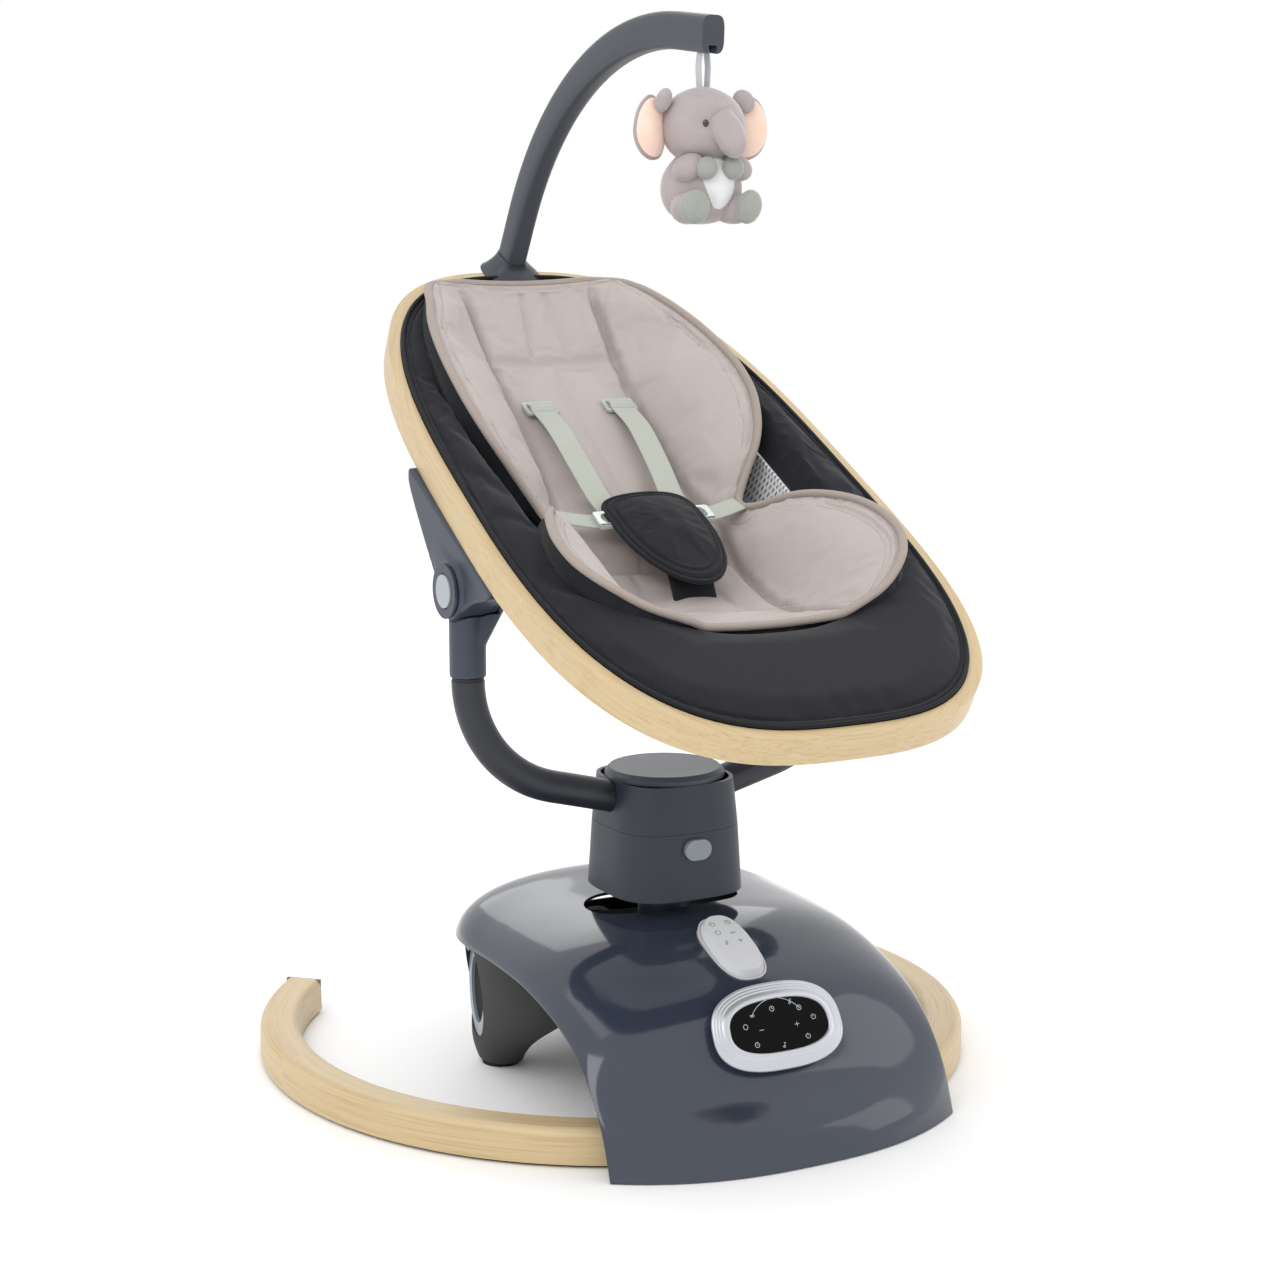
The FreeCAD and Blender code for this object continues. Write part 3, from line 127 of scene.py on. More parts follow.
def fine_grain(name, colour, roughness, grain, bump, metallic=0.0, tone=0.12, **settings):
    """A moulded or coated surface: an even fine grain with a slow drift of tone and gloss."""
    material, tree, shader = new_material(name, colour, roughness, metallic, **settings)
    place = add(tree, "ShaderNodeTexCoord").outputs["Object"]
    pits = add(tree, "ShaderNodeTexNoise", {"Vector": place, "Scale": 1 / (grain * MM), "Detail": 2.0})
    relief = add(
        tree, "ShaderNodeBump", {"Height": pits.outputs["Fac"], "Strength": bump, "Distance": 0.2 * MM}
    )
    tree.links.new(relief.outputs["Normal"], shader.inputs["Normal"])
    drift = add(tree, "ShaderNodeTexNoise", {"Vector": place, "Scale": 9.0, "Detail": 3.0})
    gloss = add(
        tree,
        "ShaderNodeMapRange",
        {"Value": drift.outputs["Fac"], "To Min": roughness * 0.85, "To Max": roughness * 1.2},
    )
    tree.links.new(gloss.outputs["Result"], shader.inputs["Roughness"])
    blend_colours(tree, shader, drift.outputs["Fac"], shade(colour, 1 - tone), shade(colour, 1 + tone))
    return material


def shade(code, share):
    """The same colour, lighter or darker."""
    parts = [min(255, int(int(code[i : i + 2], 16) * share)) for i in (1, 3, 5)]
    return "#" + "".join(f"{p:02x}" for p in parts)


def blend_colours(tree, shader, factor, low, high):
    """Mix two colours by a pattern and feed the shader's base colour."""
    mix = add(tree, "ShaderNodeMix", {0: factor, 6: linear(low), 7: linear(high)}, data_type="RGBA")
    if shader is not None:
        tree.links.new(mix.outputs[2], shader.inputs["Base Color"])
    return mix.outputs[2]


def oak(name, middle, tilt, half_wide, half_long):
    """Lacquered oak bent round an oval: pale straight grain that follows the bend, dark pores."""
    material, tree, shader = new_material(name, "#dcc49a", 0.42, Coat_Weight=0.15, Coat_Roughness=0.3)
    place = add(tree, "ShaderNodeTexCoord").outputs["Object"]
    local = add(tree, "ShaderNodeMapping", {"Vector": place}, vector_type="TEXTURE")
    local.inputs["Location"].default_value = [c * MM for c in middle]
    local.inputs["Rotation"].default_value = (tilt, 0, 0)
    local.inputs["Scale"].default_value = (half_wide * MM, half_long * MM, MM)
    axes = add(tree, "ShaderNodeSeparateXYZ", {0: local.outputs["Vector"]})
    x, y, up = axes.outputs
    turn = add(tree, "ShaderNodeMath", {0: y, 1: x}, operation="ARCTAN2")
    flat = add(tree, "ShaderNodeCombineXYZ", {"X": x, "Y": y})
    reach = add(tree, "ShaderNodeVectorMath", {0: flat.outputs[0]}, operation="LENGTH")
    mean = (half_wide + half_long) / 2
    # Millimetres along the bend, across it and up.
    run = add(tree, "ShaderNodeMath", {0: turn.outputs[0], 1: mean / 95}, operation="MULTIPLY")
    side = add(tree, "ShaderNodeMath", {0: reach.outputs["Value"], 1: mean / 2.2}, operation="MULTIPLY")
    rise = add(tree, "ShaderNodeMath", {0: up, 1: 1 / 2.2}, operation="MULTIPLY")
    fibre = add(
        tree, "ShaderNodeCombineXYZ", {"X": run.outputs[0], "Y": side.outputs[0], "Z": rise.outputs[0]}
    )
    pores = add(
        tree,
        "ShaderNodeTexNoise",
        {"Vector": fibre.outputs[0], "Scale": 1.0, "Detail": 5.0, "Roughness": 0.6},
    )
    broad = add(
        tree, "ShaderNodeVectorMath", {0: fibre.outputs[0], 1: (0.12, 0.3, 0.3)}, operation="MULTIPLY"
    )
    rings = add(
        tree,
        "ShaderNodeTexNoise",
        {"Vector": broad.outputs[0], "Scale": 1.0, "Detail": 2.0, "Distortion": 0.2},
    )
    body = blend_colours(tree, None, rings.outputs["Fac"], "#c4ac82", "#d3bd94")
    contrast = add(
        tree, "ShaderNodeMapRange", {"Value": pores.outputs["Fac"], "From Min": 0.34, "From Max": 0.52}
    )
    pore_colour = linear("#b39367")
    mix = add(tree, "ShaderNodeMix", {0: contrast.outputs[0], 6: pore_colour, 7: body}, data_type="RGBA")
    soften = add(tree, "ShaderNodeMix", {0: 0.5, 6: mix.outputs[2], 7: body}, data_type="RGBA")
    tree.links.new(soften.outputs[2], shader.inputs["Base Color"])
    relief = add(
        tree, "ShaderNodeBump", {"Height": pores.outputs["Fac"], "Strength": 0.12, "Distance": 0.3 * MM}
    )
    tree.links.new(relief.outputs["Normal"], shader.inputs["Normal"])
    return material


def woven(name, colour, thread, roughness, bump, sheen, drift_share=0.1, tint=None):
    """Cloth from crossed threads: the weave is drawn a little coarser than its real thread."""
    material, tree, shader = new_material(
        name, colour, roughness, Sheen_Weight=sheen, Sheen_Roughness=0.4, Specular_IOR_Level=0.25
    )
    place = add(tree, "ShaderNodeUVMap", uv_map="cloth").outputs["UV"]
    # A wave texture repeats every 2 pi / 20 of its scaled length.
    pitch = 2 * math.pi / 20 / (thread * MM)
    bands = [
        add(
            tree,
            "ShaderNodeTexWave",
            {"Vector": place, "Scale": pitch, "Distortion": 0.4},
            bands_direction=way,
        )
        for way in ("X", "Y")
    ]
    weave = add(
        tree, "ShaderNodeMath", {0: bands[0].outputs["Fac"], 1: bands[1].outputs["Fac"]}, operation="ADD"
    )
    relief = add(
        tree, "ShaderNodeBump", {"Height": weave.outputs[0], "Strength": bump, "Distance": 0.25 * MM}
    )
    tree.links.new(relief.outputs["Normal"], shader.inputs["Normal"])
    drift = add(tree, "ShaderNodeTexNoise", {"Vector": place, "Scale": 14.0, "Detail": 4.0})
    slub = add(tree, "ShaderNodeTexNoise", {"Vector": place, "Scale": 900.0, "Detail": 1.0})
    both = add(
        tree,
        "ShaderNodeMath",
        {0: drift.outputs["Fac"], 1: slub.outputs["Fac"], 2: slub.outputs["Fac"]},
        operation="MULTIPLY_ADD",
    )
    blend_colours(
        tree, shader, both.outputs[0], shade(colour, 1 - drift_share), tint or shade(colour, 1 + drift_share)
    )
    return material


def spacer_mesh(name):
    """White polyester spacer mesh: rows of round holes, each about 3 mm apart, painted grey for the shade
    seen through them instead of cut open.
    """
    material, tree, shader = new_material(name, "#e9ebee", 0.75, Sheen_Weight=0.2)
    place = add(tree, "ShaderNodeUVMap", uv_map="cloth").outputs["UV"]
    turned = add(tree, "ShaderNodeMapping", {"Vector": place, "Rotation": (0, 0, math.radians(45))})
    holes = add(
        tree,
        "ShaderNodeTexVoronoi",
        {"Vector": turned.outputs[0], "Scale": 1 / (4.2 * MM), "Randomness": 0.0},
    )
    edge = add(
        tree, "ShaderNodeMapRange", {"Value": holes.outputs["Distance"], "From Min": 0.2, "From Max": 0.34}
    )
    # Painted shade: the holes get a grey colour for the shade that shows through them; the mesh itself is
    # white.
    blend_colours(tree, shader, edge.outputs[0], "#74777d", "#f0f1f3")
    relief = add(tree, "ShaderNodeBump", {"Height": edge.outputs[0], "Strength": 0.8, "Distance": 0.6 * MM})
    tree.links.new(relief.outputs["Normal"], shader.inputs["Normal"])
    return material


def short_pile(name, colour, light):
    """Short polyester plush: a soft pile that scatters light at its edge and lies in patches."""
    material, tree, shader = new_material(
        name, colour, 0.9, Sheen_Weight=0.7, Sheen_Roughness=0.35, Specular_IOR_Level=0.15
    )
    place = add(tree, "ShaderNodeTexCoord").outputs["Object"]
    pile = add(tree, "ShaderNodeTexNoise", {"Vector": place, "Scale": 1 / (1.1 * MM), "Detail": 3.0})
    brushed = add(
        tree, "ShaderNodeTexNoise", {"Vector": place, "Scale": 45.0, "Detail": 4.0, "Distortion": 0.8}
    )
    blend_colours(tree, shader, brushed.outputs["Fac"], colour, light)
    relief = add(
        tree, "ShaderNodeBump", {"Height": pile.outputs["Fac"], "Strength": 0.5, "Distance": 0.5 * MM}
    )
    tree.links.new(relief.outputs["Normal"], shader.inputs["Normal"])
    return material


# Lacquered bent oak: warm pale wood with a soft sheen.
OAK_RING = oak("lacquered_oak_ring", (0, RING_MIDDLE_Y, 0), 0, 326, 326)
OAK_SEAT = oak("lacquered_oak_frame", SEAT_MIDDLE, SEAT_TILT, 205, 370)
# Glossy moulded ABS with a clear coat: mirror highlights, a faint unevenness.
SHELL = fine_grain(
    "glossy_abs", "#323947", 0.12, 30, 0.03, tone=0.02, Coat_Weight=0.35, Coat_Roughness=0.03, IOR=1.5
)
# Satin moulded ABS with a fine spark texture.
NECK = fine_grain("satin_abs", "#272c38", 0.45, 0.7, 0.25, tone=0.03)
NECK_CAP = fine_grain("satin_abs_cap", "#3b4049", 0.42, 0.7, 0.25, tone=0.03)
KEY = fine_grain("abs_button_grey", "#8a9098", 0.4, 0.7, 0.15, tone=0.03)
HUB_KEY = fine_grain("abs_button_light", "#a4abb0", 0.4, 0.7, 0.15, tone=0.03)
BRACKET = fine_grain("satin_abs_bracket", "#333a48", 0.4, 0.7, 0.22, tone=0.03)
BAR = fine_grain("satin_abs_bar", "#383d45", 0.42, 0.7, 0.22, tone=0.03)
# Powder-coated steel tube: a fine orange peel.
TUBE = fine_grain("powder_coated_steel", "#24272f", 0.38, 1.6, 0.3, tone=0.03)
# Matt polypropylene.
MATT_BLACK = fine_grain("matt_polypropylene", "#1d1e21", 0.55, 0.8, 0.3, tone=0.08)
END_CAP = fine_grain("grey_polypropylene", "#6d6a64", 0.55, 0.8, 0.3, tone=0.05)
RUBBER = fine_grain("moulded_rubber", "#18181a", 0.8, 1.2, 0.4, tone=0.1)
SILVER = fine_grain("silver_paint", "#c6c9ce", 0.28, 0.5, 0.1, metallic=0.55, tone=0.03, Coat_Weight=0.3)
SPEAKER_RIM = fine_grain("bluish_silver_paint", "#98a3ad", 0.32, 0.5, 0.1, metallic=0.3, tone=0.03)
GLASS = fine_grain(
    "black_acrylic", "#030304", 0.08, 30, 0.01, tone=0.0, Coat_Weight=0.0, Specular_IOR_Level=0.12
)
REMOTE = fine_grain("white_abs", "#d9dadd", 0.35, 0.7, 0.1, tone=0.02)
GRILLE = fine_grain("speaker_knit", "#1c1d20", 0.85, 1.4, 0.9, tone=0.3)
STEEL = fine_grain("zinc_plated_steel", "#b4b7ba", 0.3, 0.6, 0.2, metallic=1.0, tone=0.05)
CAST = fine_grain("cast_zinc", "#85888c", 0.5, 1.5, 0.5, metallic=0.9, tone=0.08)
COPPER = fine_grain("enamelled_copper_wire", "#a8632f", 0.3, 0.8, 0.7, metallic=1.0, tone=0.12)
BOARD = fine_grain("solder_mask_green", "#1f5a34", 0.4, 2.0, 0.2, tone=0.1)
ACETAL = fine_grain("white_acetal", "#e2e0d8", 0.35, 0.7, 0.1, tone=0.02)
ICON = fine_grain("printed_white_ink", "#c9ced6", 0.5, 0.5, 0.05, tone=0.02)
DARK_ICON = fine_grain("printed_grey_ink", "#5a5e66", 0.5, 0.5, 0.05, tone=0.02)
BEAD = fine_grain("glossy_black_bead", "#08080a", 0.08, 5, 0.01, tone=0.0, Coat_Weight=1.0)
CLEAR = fine_grain(
    "frosted_polypropylene", "#d4dad6", 0.3, 0.8, 0.1, tone=0.03, Transmission_Weight=0.35, IOR=1.49
)
# Plain-woven polyester, charcoal outside and taupe inside.
CHARCOAL = woven("charcoal_canvas", "#1d1e23", 1.3, 0.82, 0.35, 0.12, 0.16)
TAUPE = woven("taupe_brushed_cotton", "#b5aca8", 1.1, 0.85, 0.25, 0.25, 0.05)
TAUPE_EDGE = woven("taupe_binding_tape", "#a2978f", 1.1, 0.85, 0.35, 0.2, 0.05)
WEBBING = woven("flat_polyester_webbing", "#b3b6ac", 1.4, 0.6, 0.6, 0.15, 0.05)
PIPING = woven("charcoal_piping", "#1d1e22", 1.2, 0.8, 0.4, 0.1, 0.1)
MESH_CLOTH = spacer_mesh("white_spacer_mesh")
PLUSH = short_pile("mauve_grey_plush", "#a39899", "#b8adae")
PLUSH_PEACH = short_pile("peach_velour", "#f0cdb8", "#fae3d5")
PLUSH_WHITE = short_pile("white_plush", "#d6d8d8", "#eef0f0")
PLUSH_SAGE = short_pile("sage_grey_plush", "#939690", "#a9aca6")
RIBBON = woven("satin_ribbon", "#b9bcc0", 1.0, 0.4, 0.2, 0.3, 0.04)

FINISHES = {
    OAK_RING: ["floor_ring"],
    OAK_SEAT: ["seat_frame"],
    SHELL: ["base_shell"],
    NECK: ["neck_lower", "neck_upper", "swing_arm", "slot_cover"],
    NECK_CAP: ["neck_cap"],
    KEY: ["neck_key"],
    HUB_KEY: ["hub_button_left", "hub_button_right"],
    BRACKET: ["seat_bracket_left", "seat_bracket_right", "stem_left", "stem_right", "hub_rings"],
    BAR: ["toy_bar", "toy_bar_socket"],
    TUBE: ["bent_tube"],
    MATT_BLACK: ["underbody", "chassis_plate", "tube_collars", "ring_saddle", "buckle", "power_inlet"],
    END_CAP: ["ring_end_caps"],
    RUBBER: ["ring_grip_strip", "rear_feet"],
    SILVER: ["panel_ring"],
    SPEAKER_RIM: ["speaker_rings"],
    GLASS: ["panel_glass"],
    REMOTE: ["remote", "remote_dock"],
    GRILLE: ["speaker_grilles"],
    STEEL: ["swing_shaft", "swing_bearings", "shaft_nut", "turn_spindle", "recline_pins", "bracket_screws"],
    CAST: ["speaker_drivers", "drive_magnets"],
    COPPER: ["drive_coil"],
    BOARD: ["circuit_boards"],
    ACETAL: ["glide_track", "glide_pads", "buckle_key"],
    CLEAR: ["strap_adjuster_left", "strap_adjuster_right", "waist_clips"],
    CHARCOAL: ["seat_border", "buckle_pad", "crotch_strap"],
    MESH_CLOTH: ["seat_basin"],
    TAUPE: ["infant_insert"],
    WEBBING: ["shoulder_strap_left", "shoulder_strap_right", "waist_straps"],
    PLUSH: ["plush_toy"],
    RIBBON: ["toy_loop"],
}


def finish_nodes():
    for material, names in FINISHES.items():
        for name in names:
            mesh = NODES[name].data
            mesh.materials.clear()
            mesh.materials.append(material)
    bare = sorted(set(NODES) - {n for names in FINISHES.values() for n in names})
    if bare:
        raise RuntimeError(f"no finish for {bare}")


# ---------------------------------------------------------------- shaping helpers, in millimetres


def on_seat(points):
    """Points across, along and above the seat, moved to their place, in metres."""
    p = np.asarray(points, float)
    c, s = math.cos(SEAT_TILT), math.sin(SEAT_TILT)
    y = SEAT_MIDDLE[1] + p[..., 1] * c - p[..., 2] * s
    z = SEAT_MIDDLE[2] + p[..., 1] * s + p[..., 2] * c
    return np.stack([p[..., 0], y, z], -1) * MM


def on_slope(points, plane):
    """Points drawn flat on the control panel or the dock, moved to their place, in metres."""
    p = np.asarray(points, float)
    y, z, tilt = plane
    c, s = math.cos(tilt), math.sin(tilt)
    across, along, above = p[..., 0], p[..., 1], p[..., 2]
    return np.stack([across, y + along * c - above * s, z + along * s + above * c], -1) * MM


def ease(t):
    t = np.clip(t, 0, 1)
    return t * t * (3 - 2 * t)


def between(rows, where):
    """Smooth values between the rows of a table, whose first column is the place."""
    table = np.array(sorted(rows), float)
    x, y = table[:, 0], table[:, 1:]
    slope = np.gradient(y, x, axis=0)
    where = np.clip(np.asarray(where, float), x[0], x[-1])
    k = np.clip(np.searchsorted(x, where) - 1, 0, len(x) - 2)
    span = (x[k + 1] - x[k])[:, None]
    t = ((where - x[k]) / span[:, 0])[:, None]
    return (
        (2 * t**3 - 3 * t**2 + 1) * y[k]
        + (t**3 - 2 * t**2 + t) * span * slope[k]
        + (3 * t**2 - 2 * t**3) * y[k + 1]
        + (t**3 - t**2) * span * slope[k + 1]
    )


def oval(turn, half_long, half_wide, power, taper=0.0, shift=0.0):
    """A rounded oblong's point across and along at each angle."""
    c, s = np.cos(turn), np.sin(turn)
    along = np.sign(s) * np.abs(s) ** (2 / power)
    across = np.sign(c) * np.abs(c) ** (2 / power)
    return half_wide * (1 + taper * along) * across, shift + half_long * along


def even_turns(count, outline):
    """Angles that space the points of an outline evenly."""
    turn = np.linspace(0, 2 * math.pi, 4000)
    x, y = outline(turn)
    run = np.concatenate([[0], np.cumsum(np.hypot(np.diff(x), np.diff(y)))])
    return np.interp(np.linspace(0, run[-1], count, endpoint=False), run, turn)


def resample(path, count, closed=False):
    """A path's points, spaced evenly."""
    path = np.asarray(path, float)
    if closed:
        path = np.vstack([path, path[:1]])
    run = np.concatenate([[0], np.cumsum(np.linalg.norm(np.diff(path, axis=0), axis=1))])
    at = np.linspace(0, run[-1], count, endpoint=not closed)
    return np.stack([np.interp(at, run, path[:, i]) for i in range(path.shape[1])], -1)


def spline(points, count):
    """A smooth path through a few points, evenly spaced."""
    points = np.asarray(points, float)
    table = np.column_stack([np.arange(len(points)), points])
    return resample(between(table.tolist(), np.linspace(0, len(points) - 1, count * 4)), count)


def grid_faces(rows, columns, around=False, across=False, first=0, flip=False):
    """Faces of a grid of points; around joins its last column to its first, across its rows."""
    faces = []
    for i in range(rows if across else rows - 1):
        for j in range(columns if around else columns - 1):
            a, b = i * columns + j, i * columns + (j + 1) % columns
            c, d = ((i + 1) % rows) * columns + (j + 1) % columns, ((i + 1) % rows) * columns + j
            face = (a, d, c, b) if flip else (a, b, c, d)
            faces.append(tuple(first + k for k in face))
    return faces


def make_piece(name, points, faces, material, uv=None, back=None, back_from=None):
    """A mesh piece with smooth faces that point outwards; uv is one pair for each point."""
    mesh = bpy.data.meshes.new(name)
    mesh.from_pydata([tuple(p) for p in np.asarray(points, float)], [], faces)
    mesh.materials.append(material)
    if back is not None:
        mesh.materials.append(back)
        for face in mesh.polygons[back_from:]:
            face.material_index = 1
    if uv is not None:
        layer = mesh.uv_layers.new(name="cloth")
        corner = np.empty(len(mesh.loops), np.int32)
        mesh.loops.foreach_get("vertex_index", corner)
        layer.data.foreach_set("uv", np.asarray(uv, np.float32)[corner].ravel())
    piece = bpy.data.objects.new(name, mesh)
    bpy.context.scene.collection.objects.link(piece)
    tidy_mesh(mesh)
    return piece


def tidy_mesh(mesh):
    """Merge doubled points, close flat seams and point every face outwards."""
    work = bmesh.new()
    work.from_mesh(mesh)
    bmesh.ops.remove_doubles(work, verts=work.verts, dist=0.02 * MM)
    bmesh.ops.dissolve_degenerate(work, edges=work.edges, dist=0.01 * MM)
    bmesh.ops.recalc_face_normals(work, faces=work.faces)
    for face in work.faces:
        face.smooth = True
    work.to_mesh(mesh)
    work.free()


def settle(piece, body, replaced=()):
    """Say what the piece moves with and which simple solids it stands for."""
    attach(piece, body)
    if replaced:
        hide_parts(*replaced)
    return piece


def refine(piece, levels=1):
    """Apply one or more subdivisions."""
    modifier = piece.modifiers.new("refine", "SUBSURF")
    modifier.levels = modifier.render_levels = levels
    bake_modifiers(piece)


def bake_modifiers(piece):
    shape = piece.evaluated_get(bpy.context.evaluated_depsgraph_get())
    mesh = bpy.data.meshes.new_from_object(shape)
    piece.modifiers.clear()
    old, piece.data = piece.data, mesh
    mesh.name = piece.name
    bpy.data.meshes.remove(old)


def puff(piece, hold, pressure, cap, slack=0.0, frames=20):
    """Blow a closed cloth form up between its seams; hold is 1 at a seam and 0 between seams."""
    mesh = piece.data
    count = len(mesh.vertices)
    start = np.empty(count * 3)
    mesh.vertices.foreach_get("co", start)
    start = start.reshape(-1, 3)
    weights = hold(start)
    group = piece.vertex_groups.new(name="seams")
    for index in np.flatnonzero(weights > 0.01):
        group.add([int(index)], float(weights[index]), "REPLACE")
    cloth = piece.modifiers.new("cloth", "CLOTH")
    cloth.settings.vertex_group_mass = "seams"
    cloth.settings.quality = 5
    cloth.settings.mass = 0.25
    cloth.settings.tension_stiffness = cloth.settings.compression_stiffness = 20
    cloth.settings.bending_stiffness = 0.4
    cloth.settings.use_pressure = True
    cloth.settings.uniform_pressure_force = pressure
    cloth.settings.effector_weights.gravity = 0
    cloth.settings.shrink_min = -slack
    cloth.collision_settings.use_collision = False
    cloth.point_cache.frame_start, cloth.point_cache.frame_end = 1, frames
    for frame_number in range(1, frames + 1):
        bpy.context.scene.frame_set(frame_number)
    shape = piece.evaluated_get(bpy.context.evaluated_depsgraph_get())
    end = np.empty(count * 3)
    shape.data.vertices.foreach_get("co", end)
    move = end.reshape(-1, 3) - start
    far = np.linalg.norm(move, axis=1, keepdims=True)
    move *= np.minimum(1, cap * MM / np.maximum(far, 1e-9))
    piece.modifiers.remove(cloth)
    piece.vertex_groups.remove(group)
    bpy.context.scene.frame_set(1)
    mesh.vertices.foreach_set("co", (start + move).ravel())
    mesh.update()


def tube(name, path, radius, material, closed=False, sides=10, flatten=1.0, up=(0, 0, 1)):
    """A round or flattened tube along a path in metres."""
    path = np.asarray(path, float)
    count = len(path)
    ahead = np.roll(path, -1, 0) - np.roll(path, 1, 0)
    if not closed:
        ahead[0], ahead[-1] = path[1] - path[0], path[-1] - path[-2]
    ahead /= np.linalg.norm(ahead, axis=1, keepdims=True)
    side = np.cross(ahead, up)
    side /= np.maximum(np.linalg.norm(side, axis=1, keepdims=True), 1e-9)
    top = np.cross(side, ahead)
    turn = np.linspace(0, 2 * math.pi, sides, endpoint=False)
    ring = radius * MM * (
        np.cos(turn)[None, :, None] * side[:, None] + flatten * np.sin(turn)[None, :, None] * top[:, None]
    )
    points = (path[:, None] + ring).reshape(-1, 3)
    run = np.concatenate([[0], np.cumsum(np.linalg.norm(np.diff(path, axis=0), axis=1))])
    uv = np.stack(np.broadcast_arrays(turn[None, :] * radius * MM, run[:, None]), -1).reshape(-1, 2)
    faces = grid_faces(count, sides, around=True, across=closed)
    if not closed:
        faces += [tuple(range(sides)), tuple((count - 1) * sides + k for k in range(sides))]
    return make_piece(name, points, faces, material, uv)


def strap(
    name,
    path,
    width,
    thick,
    material,
    body,
    across=None,
    replaced=(),
    count=70,
):
    """A flat woven strap along a smooth path in metres, with its selvedges a little thinner."""
    path = spline(path, count)
    ahead = np.gradient(path, axis=0)
    ahead /= np.linalg.norm(ahead, axis=1, keepdims=True)
    side = np.tile(np.array(across if across is not None else (1.0, 0, 0)), (count, 1))
    side = side - ahead * np.sum(side * ahead, axis=1, keepdims=True)
    side /= np.linalg.norm(side, axis=1, keepdims=True)
    top = np.cross(side, ahead)
    edge = width / 2 * MM
    half = thick / 2 * MM
    outline = [(-1, 0), (-0.97, 0.8), (-0.86, 1), (-0.3, 0.94), (0.3, 0.94), (0.86, 1), (0.97, 0.8)]
    outline += [(-x, -y) for x, y in outline]
    ring = np.array([side * x * edge + top * y * half for x, y in outline]).transpose(1, 0, 2)
    points = (path[:, None] + ring).reshape(-1, 3)
    run = np.concatenate([[0], np.cumsum(np.linalg.norm(np.diff(path, axis=0), axis=1))])
    wide = np.array([x * edge for x, y in outline])
    uv = np.stack(np.broadcast_arrays(wide[None, :], run[:, None]), -1).reshape(-1, 2)
    sides = len(outline)
    faces = grid_faces(count, sides, around=True)
    faces += [tuple(range(sides)), tuple((count - 1) * sides + k for k in range(sides))]
    piece = make_piece(name, points, faces, material, uv)
    settle(piece, body, replaced)
    return piece


# ---------------------------------------------------------------- seat border and basin

SEAT_HALF = (364.0, 200.0)
BASIN_HALF = (270.0, 150.0)
BASIN_SHIFT = 56.0
WOOD_BOW = 7.0


def bow(along):
    """Rise of the wooden frame's upper edge towards its ends."""
    return WOOD_BOW * (along / SEAT_HALF[0]) ** 2


def seat_edge(turn, inset=0.0):
    return oval(turn, SEAT_HALF[0] - inset, SEAT_HALF[1] - inset, 2.9, -0.054)


def basin_edge(turn, inset=0.0):
    return oval(turn, BASIN_HALF[0] - inset, BASIN_HALF[1] - inset, 2.7, -0.03, BASIN_SHIFT)


def make_border():
    """The charcoal padded border between the wooden frame and the basin."""
    turn = even_turns(330, seat_edge)
    ox, oy = seat_edge(turn, 1.2)
    ix, iy = basin_edge(turn, 1.0)
    width = np.hypot(ox - ix, oy - iy)
    # Share of the way in from the wood: two rows lie in the seam beside the piping.
    seam = 9.0
    shares = np.concatenate([[-5, 0, 3, 6, 8, 9, 10, 12, 15, 19], np.linspace(24, 100, 22)])
    rows, uv = [], []
    for step in shares:
        if step <= 24:
            way = step / width
        else:
            way = (24 + (width - 24) * (step - 24) / 76) / width
        x, y = ox + (ix - ox) * way, oy + (iy - oy) * way
        inward, outward = width * way, width * (1 - way)
        crown = 4.6 * ease(inward / 7) - 2.4 * np.exp(-(((inward - seam) / 1.6) ** 2))
        crown = crown + 2.6 * ease((inward - seam) / 26)
        drop = 30 * (1 - ease(outward / 20)) ** 1.4 + (7 if step < 0 else 0)
        rows.append(np.stack([x, y, bow(y) * ease(outward / 40) - 1.5 + crown - drop], -1))
        uv.append(np.stack([x, y], -1))
    under = []
    for way in np.linspace(1, 0, 12)[1:-1]:
        x, y = ox + (ix - ox) * way, oy + (iy - oy) * way
        under.append(np.stack([x, y, bow(y) - 20 - 12 * way + 0 * x], -1))
        uv.append(np.stack([x, y], -1))
    rows += under
    grid = np.array(rows)
    faces = grid_faces(len(rows), len(turn), around=True, across=True)
    piece = make_piece(
        "padded_border", on_seat(grid.reshape(-1, 3)), faces, CHARCOAL, np.concatenate(uv) * MM
    )

    def hold(points):
        local = off_seat(points)
        near = np.maximum(edge_distance(local), 0)
        rim = np.exp(-((near / 3.0) ** 2)) + np.exp(-(((near - seam) / 2.2) ** 2))
        return np.clip(rim + (local[:, 2] < -14), 0, 1)

    puff(piece, hold, 3.0, 5.0, slack=0.012)
    refine(piece)
    settle(piece, "seat", ["seat_border"])
    bead_x, bead_y = seat_edge(even_turns(300, seat_edge), 2.2)
    bead = on_seat(np.stack([bead_x, bead_y, bow(bead_y) + 2.2], -1))
    cord = tube("border_piping", bead, 2.0, PIPING, closed=True, sides=8)
    settle(cord, "seat")


def off_seat(points):
    """Points in metres, in the seat's own frame, in millimetres."""
    p = np.asarray(points, float) / MM
    c, s = math.cos(SEAT_TILT), math.sin(SEAT_TILT)
    y, z = p[..., 1] - SEAT_MIDDLE[1], p[..., 2] - SEAT_MIDDLE[2]
    return np.stack([p[..., 0], y * c + z * s, -y * s + z * c], -1)


def edge_distance(local):
    """Rough distance in from the wooden frame's inner edge."""
    long, wide = SEAT_HALF
    along = np.clip(local[:, 1] / long, -1, 1)
    reach = (np.abs(local[:, 0] / (wide * (1 - 0.054 * along))) ** 2.9 + np.abs(along) ** 2.9) ** (1 / 2.9)
    size = np.hypot(local[:, 0], local[:, 1])
    return (1 - reach) * size / np.maximum(reach, 0.2)


